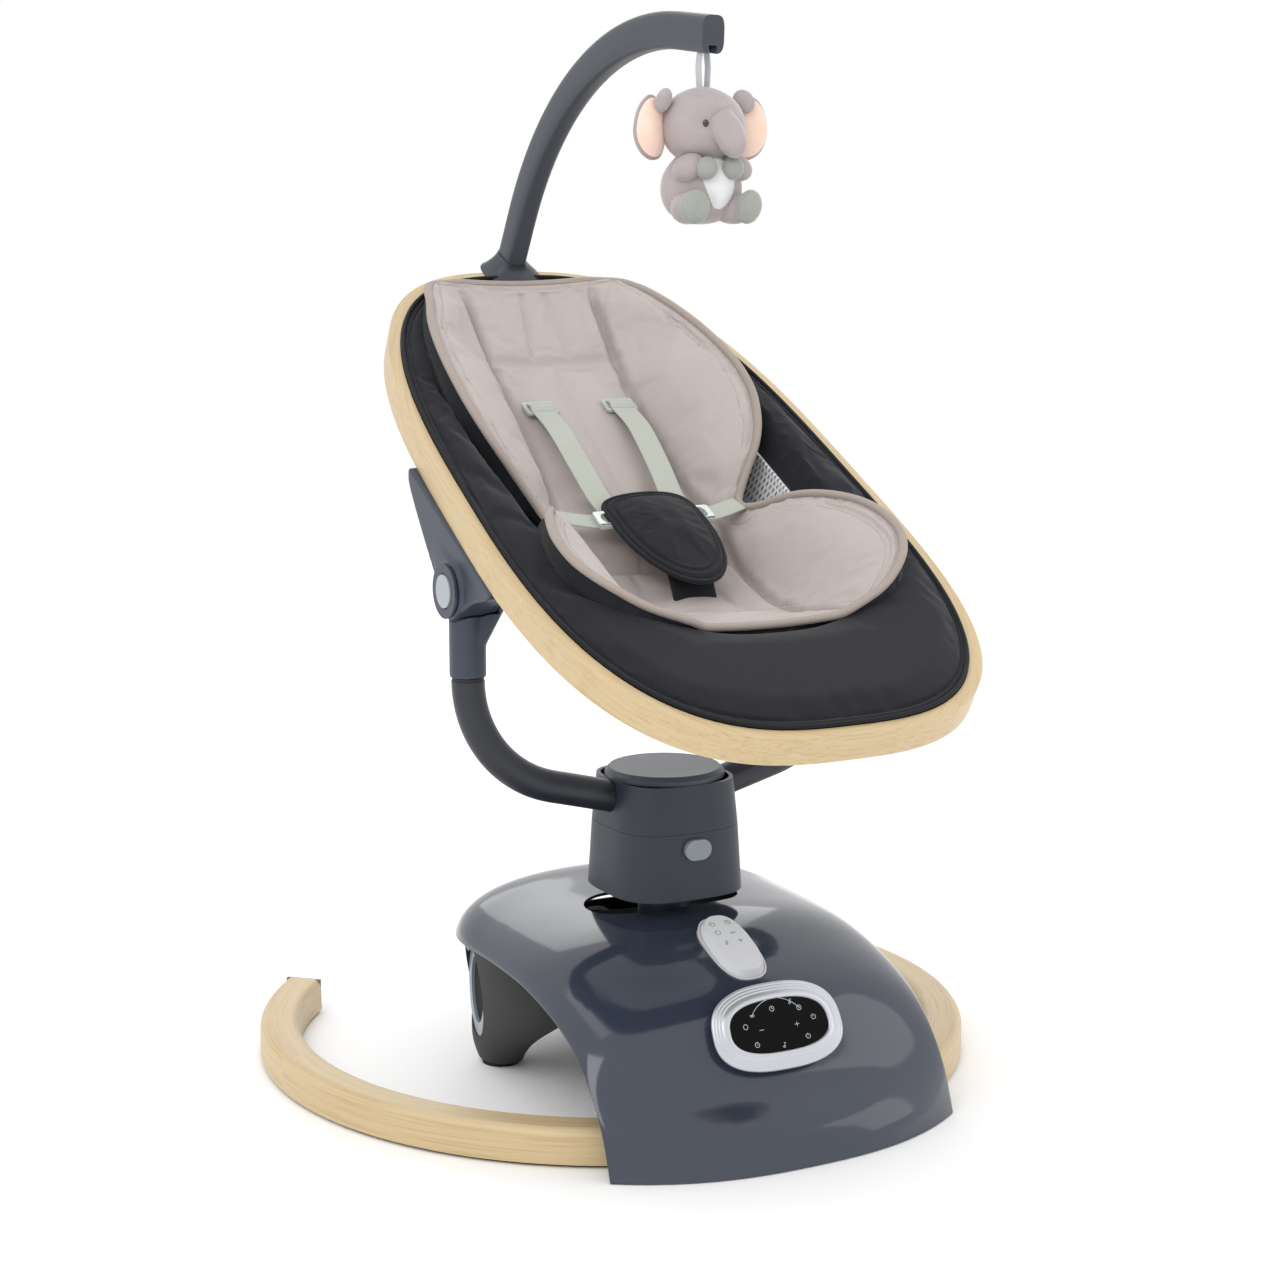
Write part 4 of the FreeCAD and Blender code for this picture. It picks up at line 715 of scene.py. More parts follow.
def make_basin():
    """The mesh basin under the insert: one thin knitted skin that hangs from the border."""
    # Depth, middle along the seat, half length and half width of its sections.
    sections = [
        (24.6, 56, 268, 148),
        (40, 50, 260, 145),
        (72, 34, 237, 135),
        (100, 16, 208, 121),
        (118, 4, 180, 107),
        (132, -8, 140, 84),
        (139, -14, 90, 55),
        (141, -16, 40, 25),
        (141.4, -16, 0.6, 0.4),
    ]
    depth = np.array([row[0] for row in sections])
    turn = even_turns(180, basin_edge)
    order = np.column_stack([np.arange(len(sections)), sections])
    smooth = between(order.tolist(), np.linspace(0, len(sections) - 1, 56))
    grid, uv = [], []
    for deep, middle, long, wide in smooth:
        x, y = oval(turn, max(long, 0.5), max(wide, 0.4), 2.6, -0.03, middle)
        grid.append(np.stack([x, y, np.full_like(x, -min(deep, depth[-1]))], -1))
        uv.append(np.stack([x, y], -1) + (deep * 0.7, 0))
    points = on_seat(np.array(grid).reshape(-1, 3))
    piece = make_piece(
        "mesh_basin",
        points,
        grid_faces(len(grid), len(turn), around=True),
        MESH_CLOTH,
        np.concatenate(uv) * MM,
    )
    wall = piece.modifiers.new("wall", "SOLIDIFY")
    wall.thickness = 1.6 * MM
    wall.offset = -1
    bake_modifiers(piece)
    settle(piece, "seat", ["seat_basin"])


# ---------------------------------------------------------------- infant insert

# Place along the seat, depth in the middle, half width, edge height, half width of the panel.
INSERT_RIBS = [
    (345, 10, 84, 13, 72),
    (338, 8, 101, 16, 72),
    (320, -1, 114, 21, 71),
    (290, -13, 125, 26, 71),
    (250, -28, 139, 27, 70),
    (200, -40, 149, 27, 68),
    (150, -51, 153, 24, 68),
    (105, -59, 149, 14, 70),
    (65, -66, 134, -6, 74),
    (38, -71, 113, -32, 80),
    (22, -73, 103, -44, 86),
    (4, -75, 106, -36, 84),
    (-30, -77, 128, 0, 78),
    (-75, -74, 155, 25, 76),
    (-120, -63, 168, 33, 74),
    (-155, -48, 163, 32, 76),
    (-185, -26, 141, 27, 82),
    (-206, -10, 112, 19, 84),
    (-220, 3, 78, 13, 70),
]
INSERT_THICK = 10.0
BACK_SEAM = 250.0
SEAT_SEAM = -36.0


def insert_height(across, depth, half, edge, panel):
    """Height of the insert's middle layer: a flat panel with a wing rising at each side."""
    size = np.abs(across)
    wing = np.clip((size - panel) / np.maximum(half - panel, 1), 0, 1)
    return depth + 4 * np.clip(size / panel, 0, 1) ** 2 + (edge - depth - 4) * wing**1.15


def insert_seams(across, along, panel, half):
    """Distance to the nearest line that is sewn through, and to the outline."""
    size = np.abs(across)
    seams = np.abs(size - panel)
    inside = size < panel + 4
    seams = np.minimum(seams, np.where(inside, np.abs(along - BACK_SEAM), 99))
    seams = np.minimum(seams, np.where(inside, np.abs(along - SEAT_SEAM), 99))
    spread = np.clip((along - BACK_SEAM) / 90, 0, 1)
    upper = (along > BACK_SEAM) & (along < 330)
    for place in (-20 + 14 * spread, 22 - 4 * spread):
        seams = np.minimum(seams, np.where(upper, np.abs(across - place) + 2.5, 99))
    lower = (along < BACK_SEAM - 6) & (along > 40)
    seams = np.minimum(seams, np.where(lower, np.abs(across - 4) + 4.0, 99))
    seat = (along < SEAT_SEAM) & (along > -196)
    for place in (-34, 30):
        fan = place * (1 + (SEAT_SEAM - along) / 300)
        seams = np.minimum(seams, np.where(seat, np.abs(across - fan) + 4.0, 99))
    rim = np.minimum.reduce([half - size, 345 - along, along + 220])
    return seams + 30 * (1 - ease(rim / 16)), rim


def place_in_row(across, row, reach):
    """The point of one row of a grid that lies at a distance across the seat."""
    return np.array([np.interp(reach, across, row[:, k]) for k in range(3)])


def make_insert():
    """The padded infant insert: taupe above and charcoal below, quilted, with bound edges."""
    count_along, count_across = 220, 131
    ends = np.linspace(0, 1, count_along)
    along = 345 - 565 * (ends - 0.6 * np.sin(2 * math.pi * ends) / (2 * math.pi))
    ribs = between(INSERT_RIBS, along)
    share = np.sin(np.linspace(-math.pi / 2, math.pi / 2, count_across) * 0.92) / math.sin(0.92 * math.pi / 2)
    depth, half, edge, panel = (ribs[:, i : i + 1] for i in range(4))
    across = half * share[None, :]
    level = insert_height(across, depth, half, edge, panel)
    place = np.broadcast_to(along[:, None], across.shape)
    middle = np.stack([across, place, level], -1)
    normal = np.cross(np.gradient(middle, axis=0), np.gradient(middle, axis=1))
    normal /= np.linalg.norm(normal, axis=2, keepdims=True)
    normal *= np.sign(normal[..., 2:3])
    seams, rim = insert_seams(across, place, np.broadcast_to(panel, across.shape), half)
    edge_in = ease(rim / 9)
    sewn = 1 - 0.85 * np.exp(-((seams / 5.0) ** 2))
    crease = 7.0 * np.exp(-(((np.abs(across) - panel) / 4.0) ** 2)) * ease((rim - 14) / 20)
    groove = 1.8 * np.exp(-(((rim - 10) / 1.8) ** 2))
    crown = INSERT_THICK / 2 * edge_in * sewn - groove
    swell = 3.5 + 5 * (np.abs(across) > panel)
    plump = swell * ease(seams / 34) * ease((rim - 8) / 34)
    top = middle + normal * (crown + plump - crease)[..., None]
    wing = np.clip((np.abs(across) - panel) / (half - panel), 0, 1)
    wide_wing = ease((half - panel - 22) / 30)
    bulge = 30 * wide_wing * np.sin(math.pi * wing**0.8) ** 0.8
    low = middle - normal * (INSERT_THICK / 2 * edge_in + bulge + crease)[..., None]
    points = np.concatenate([top.reshape(-1, 3), low.reshape(-1, 3)])
    flat = np.stack([across * 1.12, place], -1).reshape(-1, 2)
    faces = grid_faces(count_along, count_across)
    first_back = len(faces)
    faces += grid_faces(count_along, count_across, first=count_along * count_across, flip=True)
    piece = make_piece(
        "quilted_insert",
        on_seat(points),
        faces,
        TAUPE,
        np.concatenate([flat, flat]) * MM,
        CHARCOAL,
        first_back,
    )

    def hold(points):
        local = off_seat(points)
        rows = between(INSERT_RIBS, local[:, 1])
        sewn_at, rim_at = insert_seams(local[:, 0], local[:, 1], rows[:, 3], rows[:, 1])
        return np.clip(np.exp(-((sewn_at / 3.5) ** 2)) + np.exp(-((rim_at / 5.0) ** 2)), 0, 1)

    puff(piece, hold, 2.6, 6.0, slack=0.02)
    settle(piece, "seat", ["infant_insert"])
    outline = np.concatenate([middle[0], middle[1:, -1], middle[-1, -2::-1], middle[-2:0:-1, 0]])
    outline = resample(outline, 420, closed=True)
    for _ in range(3):
        outline = (np.roll(outline, 1, 0) + 2 * outline + np.roll(outline, -1, 0)) / 4
    binding = tube("insert_binding", on_seat(outline), 4.2, TAUPE_EDGE, closed=True, sides=12, flatten=0.9)
    settle(binding, "seat")
    # The seam that holds the binding runs a little way in from the edge.
    seam_in = 12
    rows = [i for i in range(0, count_along, 3) if 336 > along[i] > -210]
    right = [place_in_row(across[i], top[i], half[i, 0] - seam_in) for i in rows]
    left = [place_in_row(across[i], top[i], seam_in - half[i, 0]) for i in rows]
    loop = np.array(right + left[::-1])
    stitch_line("insert_stitches", piece, on_seat(loop), TAUPE, "seat", closed=True)


# ---------------------------------------------------------------- harness


def make_harness():
    for side, sign in (("left", -1), ("right", 1)):
        route = [
            (sign * 43, 181, -31),
            (sign * 43, 168, -27),
            (sign * 43, 130, -25),
            (sign * 41, 80, -33),
            (sign * 38, 40, -41),
            (sign * 34, 8, -43),
        ]
        strap(
            f"shoulder_webbing_{side}",
            on_seat(route),
            25,
            1.8,
            WEBBING,
            "seat",
            replaced=[f"shoulder_strap_{side}"],
        )
        fold = [
            (sign * 43, 186, -34),
            (sign * 43, 181.5, -27.5),
            (sign * 43, 175, -24.5),
            (sign * 43, 168, -27),
        ]
        slider = f"adjuster_{side[0]}"
        strap(f"adjuster_fold_{side}", on_seat(fold), 26, 2.4, WEBBING, slider, count=24)
        make_adjuster(side, sign)


def rounded_frame(name, half_wide, half_long, round_by, thick, holes, place, material):
    """A flat moulded frame with rounded corners and slots, laid on the seat at a place."""
    outlines = [rounded_box(half_wide, half_long, round_by)]
    for shift, wide, long in holes:
        outlines.append(rounded_box(wide, long, long * 0.8) + (0, shift))
    return plate_piece(name, outlines, thick, lambda p: on_seat(p + np.array(place)), material)


def rounded_box(half_wide, half_long, round_by, steps=8):
    """Outline of a rectangle with rounded corners."""
    points = []
    for corner in range(4):
        start = corner * math.pi / 2
        cx = (half_wide - round_by) * (1, -1, -1, 1)[corner]
        cy = (half_long - round_by) * (1, 1, -1, -1)[corner]
        for k in range(steps + 1):
            turn = start + k / steps * math.pi / 2
            points.append((cx + round_by * math.cos(turn), cy + round_by * math.sin(turn)))
    return np.array(points)


def plate_piece(name, outlines, thick, place, material, bevel=0.5):
    """A flat plate from closed outlines; the ones after the first are its holes."""
    curve = bpy.data.curves.new(name, "CURVE")
    curve.dimensions = "2D"
    curve.fill_mode = "BOTH"
    for outline in outlines:
        line = curve.splines.new("POLY")
        line.points.add(len(outline) - 1)
        for point, (x, y) in zip(line.points, outline):
            point.co = (x, y, 0, 1)
        line.use_cyclic_u = True
    curve.extrude = max(thick / 2 - bevel, 0.01)
    curve.bevel_depth = bevel
    curve.bevel_resolution = 2
    curve.offset = -bevel
    holder = bpy.data.objects.new(name + "_outline", curve)
    bpy.context.scene.collection.objects.link(holder)
    mesh = bpy.data.meshes.new_from_object(holder.evaluated_get(bpy.context.evaluated_depsgraph_get()))
    bpy.data.objects.remove(holder)
    bpy.data.curves.remove(curve)
    mesh.name = name
    points = np.empty(len(mesh.vertices) * 3)
    mesh.vertices.foreach_get("co", points)
    mesh.vertices.foreach_set("co", place(points.reshape(-1, 3)).ravel())
    mesh.materials.clear()
    mesh.materials.append(material)
    piece = bpy.data.objects.new(name, mesh)
    bpy.context.scene.collection.objects.link(piece)
    tidy_mesh(mesh)
    for face in mesh.polygons:
        face.use_smooth = False
    return piece


def make_adjuster(side, sign):
    frame_piece = rounded_frame(
        f"strap_slider_{side}",
        17,
        10.5,
        4,
        3.2,
        [(-5, 13.2, 1.6), (5, 13.2, 1.6)],
        (sign * 43, 177, -29),
        CLEAR,
    )
    settle(frame_piece, f"adjuster_{side[0]}", [f"strap_adjuster_{side}"])


def shield(turn):
    """Outline of the buckle pad: square shoulders above and a rounded point below."""
    c, s = np.cos(turn), np.sin(turn)
    square = np.where(s > 0, 0.3, 1.0)
    across = np.sign(c) * np.abs(c) ** square
    along = np.sign(s) * np.abs(s) ** np.where(s > 0, 0.42, 0.95)
    return 47 * across, -14 + np.where(s > 0, 42, 94) * along


def make_buckle_pad():
    """The charcoal padded shield over the harness buckle, with a bound and stitched edge."""
    turn = even_turns(150, shield)
    x, y = shield(turn)
    centre = np.array([0, -26.0])
    rows, uv = [], []
    shares = np.concatenate([[1, 0.985, 0.96, 0.93, 0.89, 0.86, 0.83, 0.79], np.linspace(0.72, 0.02, 16)])
    for side_up in (1, -1):
        order = shares if side_up > 0 else shares[::-1][:-1]
        for way in order:
            px, py = centre[0] + (x - centre[0]) * way, centre[1] + (y - centre[1]) * way
            swell = 6.0 * ease((1 - way) / 0.12) + 5.0 * ease((0.86 - way) / 0.5)
            stitch = 2.4 * math.exp(-(((way - 0.86) / 0.02) ** 2))
            bend = -0.0035 * px**2 - 0.0010 * (py + 30) ** 2
            rows.append(np.stack([px, py, -27 + bend + side_up * (swell * 0.62 - stitch)], -1))
            uv.append(np.stack([px, py], -1))
    top, low = rows[: len(shares)], rows[len(shares) :]
    # From the middle of the upper face out to the rim and back under to the middle.
    ordered = top[::-1] + low[::-1]
    ordered_uv = uv[: len(shares)][::-1] + uv[len(shares) :][::-1]
    grid = np.array(ordered)
    faces = grid_faces(len(ordered), len(turn), around=True)
    faces += [tuple(range(len(turn))), tuple((len(ordered) - 1) * len(turn) + k for k in range(len(turn)))]
    piece = make_piece(
        "buckle_cushion", on_seat(grid.reshape(-1, 3)), faces, CHARCOAL, np.concatenate(ordered_uv) * MM
    )

    def hold(points):
        local = off_seat(points)
        px, py = local[:, 0] - centre[0], local[:, 1] - centre[1]
        angle = np.arctan2(py, px)
        rim_angle = np.arctan2(y - centre[1], x - centre[0])
        order = np.argsort(rim_angle)
        reach = np.interp(angle, rim_angle[order], np.hypot(x, y - centre[1])[order], period=2 * math.pi)
        way = np.hypot(px, py) / reach
        return np.clip((way > 0.95) + np.exp(-(((way - 0.86) / 0.03) ** 2)), 0, 1)

    puff(piece, hold, 3.0, 3.0, slack=0.01)
    refine(piece)
    settle(piece, "seat", ["buckle_pad"])
    rim = grid[len(shares) - 1]
    bead = tube("buckle_cushion_binding", on_seat(rim), 2.4, PIPING, closed=True, sides=8)
    settle(bead, "seat")
    inside = grid[len(shares) - 7] + (0, 0, 1)
    stitch_line("buckle_stitches", piece, on_seat(inside), PIPING, "seat", closed=True)


def make_crotch_strap():
    route = [(0, -66, -40), (0, -84, -47), (0, -100, -58), (0, -110, -66)]
    strap(
        "crotch_webbing",
        on_seat(route),
        44,
        5,
        CHARCOAL,
        "seat",
        replaced=["crotch_strap"],
    )


def make_waist_straps():
    """The waist webbing on each side, from the pad's clip into the notch of the insert."""
    for side, sign in (("left", -1), ("right", 1)):
        route = [
            (sign * 34, -2, -38),
            (sign * 56, 2, -40),
            (sign * 78, 8, -40),
            (sign * 99, 14, -38),
        ]
        replaced = ["waist_straps"] if sign > 0 else []
        strap(
            f"waist_webbing_{side}",
            on_seat(route),
            20,
            1.6,
            WEBBING,
            "seat",
            across=(0.0, 0.88, 0.47),
            replaced=replaced,
            count=30,
        )


def make_waist_clips():
    """The two clear clips that join the waist webbing to the buckle."""
    for side, sign in (("left", -1), ("right", 1)):
        clip = rounded_frame(
            f"waist_clip_{side}", 12, 11.5, 3.5, 4.5, [(0, 6, 8)], (sign * 49, 0, -37), CLEAR
        )
        settle(clip, "seat", ["waist_clips"] if sign > 0 else [])


# ---------------------------------------------------------------- brackets and stems


def solid_hull(rings):
    """A closed convex form round some rings of points."""
    work = bmesh.new()
    for point in np.concatenate(rings):
        work.verts.new(tuple(point))
    bmesh.ops.convex_hull(work, input=work.verts)
    for vertex in [v for v in work.verts if not v.link_faces]:
        work.verts.remove(vertex)
    work.verts.index_update()
    points = np.array([v.co for v in work.verts])
    faces = [tuple(v.index for v in f.verts) for f in work.faces]
    work.free()
    return points, faces


def ring_across(x, radius, middle=(NECK_Y, 480.0), count=48):
    """A circle round the recline axis, at a distance across."""
    turn = np.linspace(0, 2 * math.pi, count, endpoint=False)
    y, z = middle[0] + radius * np.cos(turn), middle[1] + radius * np.sin(turn)
    return np.stack([np.full(count, x), y, z], -1)


def ring_level(x, radius, z, count=48):
    turn = np.linspace(0, 2 * math.pi, count, endpoint=False)
    return np.stack([x + radius * np.cos(turn), NECK_Y + radius * np.sin(turn), np.full(count, z)], -1)


def prism(outline, near, far):
    """A closed plate from an outline in the seat's own long plane."""
    count = len(outline)
    points = [(x, s, h) for x in (near, far) for s, h in outline]
    faces = [tuple(range(count)), tuple(range(2 * count - 1, count - 1, -1))]
    faces += [(k, (k + 1) % count, count + (k + 1) % count, count + k) for k in range(count)]
    return on_seat(points) / MM, faces


def moulded(name, forms, voxel, rounds, material, cutters=()):
    """One skin over several forms that overlap, with moulded fillets, then crisp cuts."""
    points, faces = [], []
    for form_points, form_faces in forms:
        first = len(points)
        points += [tuple(p) for p in form_points]
        faces += [tuple(first + k for k in f) for f in form_faces]
    piece = make_piece(name, np.array(points) * MM, faces, material)
    skin = piece.modifiers.new("skin", "REMESH")
    skin.mode = "VOXEL"
    skin.voxel_size = voxel * MM
    fillet = piece.modifiers.new("fillet", "SMOOTH")
    fillet.factor = 0.5
    fillet.iterations = rounds
    bake_modifiers(piece)
    for cutter_points, cutter_faces in cutters:
        tool = make_piece(name + "_cutter", np.array(cutter_points) * MM, cutter_faces, material)
        cut = piece.modifiers.new("cut", "BOOLEAN")
        cut.operation, cut.object, cut.solver = "DIFFERENCE", tool, "EXACT"
        bake_modifiers(piece)
        bpy.data.objects.remove(tool)
    piece.data.materials.clear()
    piece.data.materials.append(material)
    for face in piece.data.polygons:
        face.use_smooth = True
    return piece


def make_bracket(side, sign):
    """A bracket: a blade under the wooden frame that flows into the round hub."""
    outline = spline(
        np.array([(88, -27, 0), (88, -34, 0), (78, -44, 0), (38, -64, 0), (-8, -84, 0), (-40, -96, 0)]), 40
    )[:, :2]
    back = spline(np.array([(-64, -84, 0), (-82, -58, 0), (-104, -38, 0), (-110, -27, 0)]), 24)[:, :2]
    near, far = sorted((sign * 187.5, sign * 214.5))
    blade = prism([tuple(p) for p in outline] + [tuple(p) for p in back], near, far)
    hub = solid_hull([ring_across(sign * 178, 26), ring_across(sign * 219, 26)])
    corners = ((24, -58), (20, -48), (-84, -48))
    neck_points = on_seat([(sign * x, s, h) for x in (188, 214) for s, h in corners])
    flow = solid_hull([ring_across(sign * 181, 23), ring_across(sign * 216, 23), neck_points / MM])
    pocket = solid_hull([ring_across(sign * 212, 16), ring_across(sign * 240, 16)])
    piece = moulded(f"moulded_bracket_{side}", [blade, hub, flow], 1.6, 10, BRACKET, [pocket])
    settle(piece, "seat", [f"seat_bracket_{side}"])


def make_stem(side, sign):
    """A stem: a round post whose inner side rises into a flat ear beside the hub."""
    post = solid_hull([ring_level(sign * 200, 16.5, 401.2), ring_level(sign * 200, 16.5, 462)])
    ear = solid_hull(
        [ring_across(sign * 168.5, 21), ring_across(sign * 176, 21), ring_level(sign * 200, 15.5, 428)]
    )
    hub_room = solid_hull([ring_across(sign * 176.4, 27.6), ring_across(sign * 240, 27.6)])
    piece = moulded(f"moulded_stem_{side}", [post, ear], 1.6, 8, BRACKET, [hub_room])
    settle(piece, "turntable", [f"stem_{side}"])


# ---------------------------------------------------------------- stitches


def stitch_tree():
    """Stitches along a path: short rounded threads, one for each step of the needle."""
    tree = bpy.data.node_groups.new("stitch_row", "GeometryNodeTree")
    face = tree.interface
    face.new_socket("Path", in_out="INPUT", socket_type="NodeSocketGeometry")
    for name, value in (("Needle Step", 4.0 * MM), ("Thread Length", 2.9 * MM), ("Thread Radius", 0.42 * MM)):
        socket = face.new_socket(name, in_out="INPUT", socket_type="NodeSocketFloat")
        socket.default_value = value
    face.new_socket("Thread", in_out="INPUT", socket_type="NodeSocketMaterial")
    face.new_socket("Stitches", in_out="OUTPUT", socket_type="NodeSocketGeometry")
    given = add(tree, "NodeGroupInput").outputs
    curve = add(tree, "GeometryNodeMeshToCurve", {"Mesh": given["Path"]})
    even = add(
        tree,
        "GeometryNodeResampleCurve",
        {"Curve": curve.outputs[0], "Length": given["Needle Step"]},
        mode="LENGTH",
    )
    tangent = add(tree, "GeometryNodeInputTangent")
    turn = add(tree, "FunctionNodeAlignEulerToVector", {"Vector": tangent.outputs[0]}, axis="Z")
    half = add(tree, "ShaderNodeMath", {0: given["Thread Length"], 1: 0.5}, operation="MULTIPLY")
    radius = given["Thread Radius"]
    slim = add(tree, "ShaderNodeCombineXYZ", {0: radius, 1: radius, 2: half.outputs[0]})
    ball = add(tree, "GeometryNodeMeshUVSphere", {"Segments": 6, "Rings": 5, "Radius": 1.0})
    places = add(
        tree,
        "GeometryNodeInstanceOnPoints",
        {
            "Points": even.outputs[0],
            "Instance": ball.outputs["Mesh"],
            "Rotation": turn.outputs[0],
            "Scale": slim.outputs[0],
        },
    )
    whole = add(tree, "GeometryNodeRealizeInstances", {"Geometry": places.outputs[0]})
    smooth = add(tree, "GeometryNodeSetShadeSmooth", {"Geometry": whole.outputs[0]})
    dressed = add(
        tree, "GeometryNodeSetMaterial", {"Geometry": smooth.outputs[0], "Material": given["Thread"]}
    )
    add(tree, "NodeGroupOutput", {"Stitches": dressed.outputs[0]})
    return tree


def stitch_line(name, cloth, path, material, body, closed=False, step=4.0):
    """Sew a row of stitches where a path meets a piece of cloth."""
    count = len(path)
    on_cloth = []
    for point in path:
        found, place, normal, _ = cloth.closest_point_on_mesh(Vector(tuple(point)))
        on_cloth.append(place + normal * 0.25 * MM if found else Vector(tuple(point)))
    edges = [(k, k + 1) for k in range(count - 1)] + ([(count - 1, 0)] if closed else [])
    mesh = bpy.data.meshes.new(name)
    mesh.from_pydata(on_cloth, edges, [])
    piece = bpy.data.objects.new(name, mesh)
    bpy.context.scene.collection.objects.link(piece)
    tree = bpy.data.node_groups.get("stitch_row") or stitch_tree()
    modifier = piece.modifiers.new("stitches", "NODES")
    modifier.node_group = tree
    inputs = {item.name: item.identifier for item in tree.interface.items_tree if item.in_out == "INPUT"}
    modifier[inputs["Needle Step"]] = step * MM
    modifier[inputs["Thread"]] = material
    bake_modifiers(piece)
    settle(piece, body)


# ---------------------------------------------------------------- plush toy


def lump(name, centre, radii, material, turn=(0, 0, 0), pull=None, detail=4):
    """A sewn and stuffed form: a rounded lump that pull may reshape, in millimetres."""
    work = bmesh.new()
    bmesh.ops.create_icosphere(work, subdivisions=detail, radius=1)
    points = np.array([v.co for v in work.verts])
    faces = [tuple(v.index for v in f.verts) for f in work.faces]
    work.free()
    if pull is not None:
        points = pull(points)
    about_x, about_y, about_z = (Matrix.Rotation(a, 3, axis) for a, axis in zip(turn, "XYZ"))
    spin = np.array(about_z @ about_y @ about_x)
    points = (points * np.array(radii)) @ spin.T + np.array(centre)
    for k, point in enumerate(points):
        dent = noise.noise(Vector(point) / 14.0)
        points[k] += (point - np.array(centre)) * 0.02 * dent
    return make_piece(name, points * MM, faces, material)


def make_toy():
    low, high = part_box("toy_loop")
    middle_y = (low.y + high.y) / 2 / MM
    head_z = low.z / MM - 34
    body_z = head_z - 50

    def at(x, y, z):
        return (x, middle_y + y, z)

    def pear(points):
        out = points.copy()
        out[:, :2] *= (1.08 - 0.16 * points[:, 2:3])
        return out

    pieces = []
    head = lump("toy_head", at(0, 0, head_z), (38, 34, 34), PLUSH)
    pieces.append(head)
    trunk_path = [
        at(2, -26, head_z + 2),
        at(5, -36, head_z - 6),
        at(8, -41, head_z - 18),
        at(11, -40, head_z - 27),
    ]
    path = spline(np.array(trunk_path) * MM, 22)
    trunk = tube("toy_trunk", path, 12.0, PLUSH, sides=20)
    points = np.array([v.co for v in trunk.data.vertices])
    rings = points.reshape(-1, 20, 3)
    centre = rings.mean(axis=1, keepdims=True)
    share = np.linspace(0, 1, len(rings))[:, None, None]
    size = (1.25 - 0.35 * share) * np.sqrt(np.clip(1 - ((share - 0.62).clip(0) / 0.385) ** 2, 0.02, 1))
    trunk.data.vertices.foreach_set("co", (centre + (rings - centre) * size).ravel())
    pieces.append(trunk)
    pieces.append(lump("toy_body", at(0, 3, body_z), (34, 30, 34), PLUSH, pull=pear))
    for side, sign in (("left", -1), ("right", 1)):
        # Each limb's part: place, half sizes, cloth and turn.
        for part, place, radii, cloth, spin in (
            ("arm", (24, -17, 15), (15, 13, 11), PLUSH, (0, 0.5, 0)),
            ("paw", (13, -30, 14), (10, 9, 10), PLUSH_SAGE, (0.2, 0.3, 0)),
            ("leg", (23, -14, -20), (15, 22, 14), PLUSH, (0, 0, 0.4)),
            ("foot", (27, -34, -19), (13, 10, 15), PLUSH_SAGE, (0.25, 0, 0.4)),
        ):
            centre = at(sign * place[0], place[1], body_z + place[2])
            spin = (spin[0], spin[1] * sign, spin[2] * sign)
            pieces.append(lump(f"toy_{part}_{side}", centre, radii, cloth, spin))
        pieces += make_ear(side, sign, at, head_z)
        centre = at(sign * 15, -31.5, head_z + 2)
        eye = lump(f"toy_eye_{side}", centre, (2.6, 1.8, 3.2), BEAD, (0, 0, 0.45 * sign), detail=3)
        pieces.append(eye)
    pieces.append(lump("toy_belly", at(1, -10, body_z - 1), (23, 22, 27), PLUSH_WHITE))
    for piece in pieces:
        settle(piece, "toy", ["plush_toy"] if piece is head else [])
    make_ribbon(at, head_z, high.z / MM)


def make_ear(side, sign, at, head_z):
    """One ear: a soft flap, plush behind and peach inside, whose upper edge folds forward."""
    pieces = []
    for layer, material, shift, grow in (("back", PLUSH, 2.4, 1.0), ("inside", PLUSH_PEACH, -1.2, 0.9)):
        def fold(points, grow=grow):
            out = points.copy()
            x, z = out[:, 0], out[:, 2]
            out[:, 0] = x * (1.0 - 0.12 * z)
            out[:, 1] = out[:, 1] * 1.0 + 1.1 * (x**2) * 0.9
            return out

        centre = at(sign * 47, 4 + shift, head_z - 1)
        pieces.append(
            lump(
                f"toy_ear_{layer}_{side}",
                centre,
                (20 * grow, 4.0, 28 * grow),
                material,
                (0, 0.12 * sign, -0.35 * sign),
                pull=fold,
            )
        )
    tip = at(sign * 40, -2, head_z + 22)
    pieces.append(lump(f"toy_ear_fold_{side}", tip, (11, 6, 9), PLUSH, (0.3, 0.9 * sign, -0.3 * sign)))
    return pieces


def make_ribbon(at, head_z, top):
    """The ribbon loop that hangs the toy on the bar's hook."""
    route = [
        at(-3.4, 0, head_z + 30),
        at(-4.2, 0, head_z + 40),
        at(-4.6, 0, head_z + 52),
        at(-2.6, 0, top - 0.6),
        at(0, 0, top + 0.6),
        at(2.6, 0, top - 0.6),
        at(4.6, 0, head_z + 52),
        at(4.2, 0, head_z + 40),
        at(3.4, 0, head_z + 30),
    ]
    strap(
        "toy_ribbon",
        np.array(route) * MM,
        10,
        0.9,
        RIBBON,
        "toy",
        across=(0.0, 1.0, 0.0),
        replaced=["toy_loop"],
    )


# ---------------------------------------------------------------- control panel and remote


def line_icon(name, lines, plane, lift, material, width=0.5, body="base"):
    """Printed line symbols on a sloped face, as one thin relief."""
    points, faces = [], []
    for line in lines:
        path = np.asarray(line, float)
        if len(path) < 2:
            continue
        ahead = np.gradient(path, axis=0)
        ahead /= np.maximum(np.linalg.norm(ahead, axis=1, keepdims=True), 1e-9)
        side = np.stack([-ahead[:, 1], ahead[:, 0]], -1) * width / 2
        first = len(points)
        for p, s in zip(path, side):
            for way, up in ((1, 0.0), (0.7, 0.12), (-0.7, 0.12), (-1, 0.0)):
                points.append((p[0] + s[0] * way, p[1] + s[1] * way, lift + up))
        count = len(path)
        for i in range(count - 1):
            a = first + i * 4
            for k in range(4):
                faces.append((a + k, a + (k + 1) % 4, a + 4 + (k + 1) % 4, a + 4 + k))
        faces.append(tuple(first + k for k in range(4)))
        faces.append(tuple(first + (count - 1) * 4 + k for k in range(4)))
    piece = make_piece(name, on_slope(points, plane), faces, material)
    settle(piece, body)
    return piece


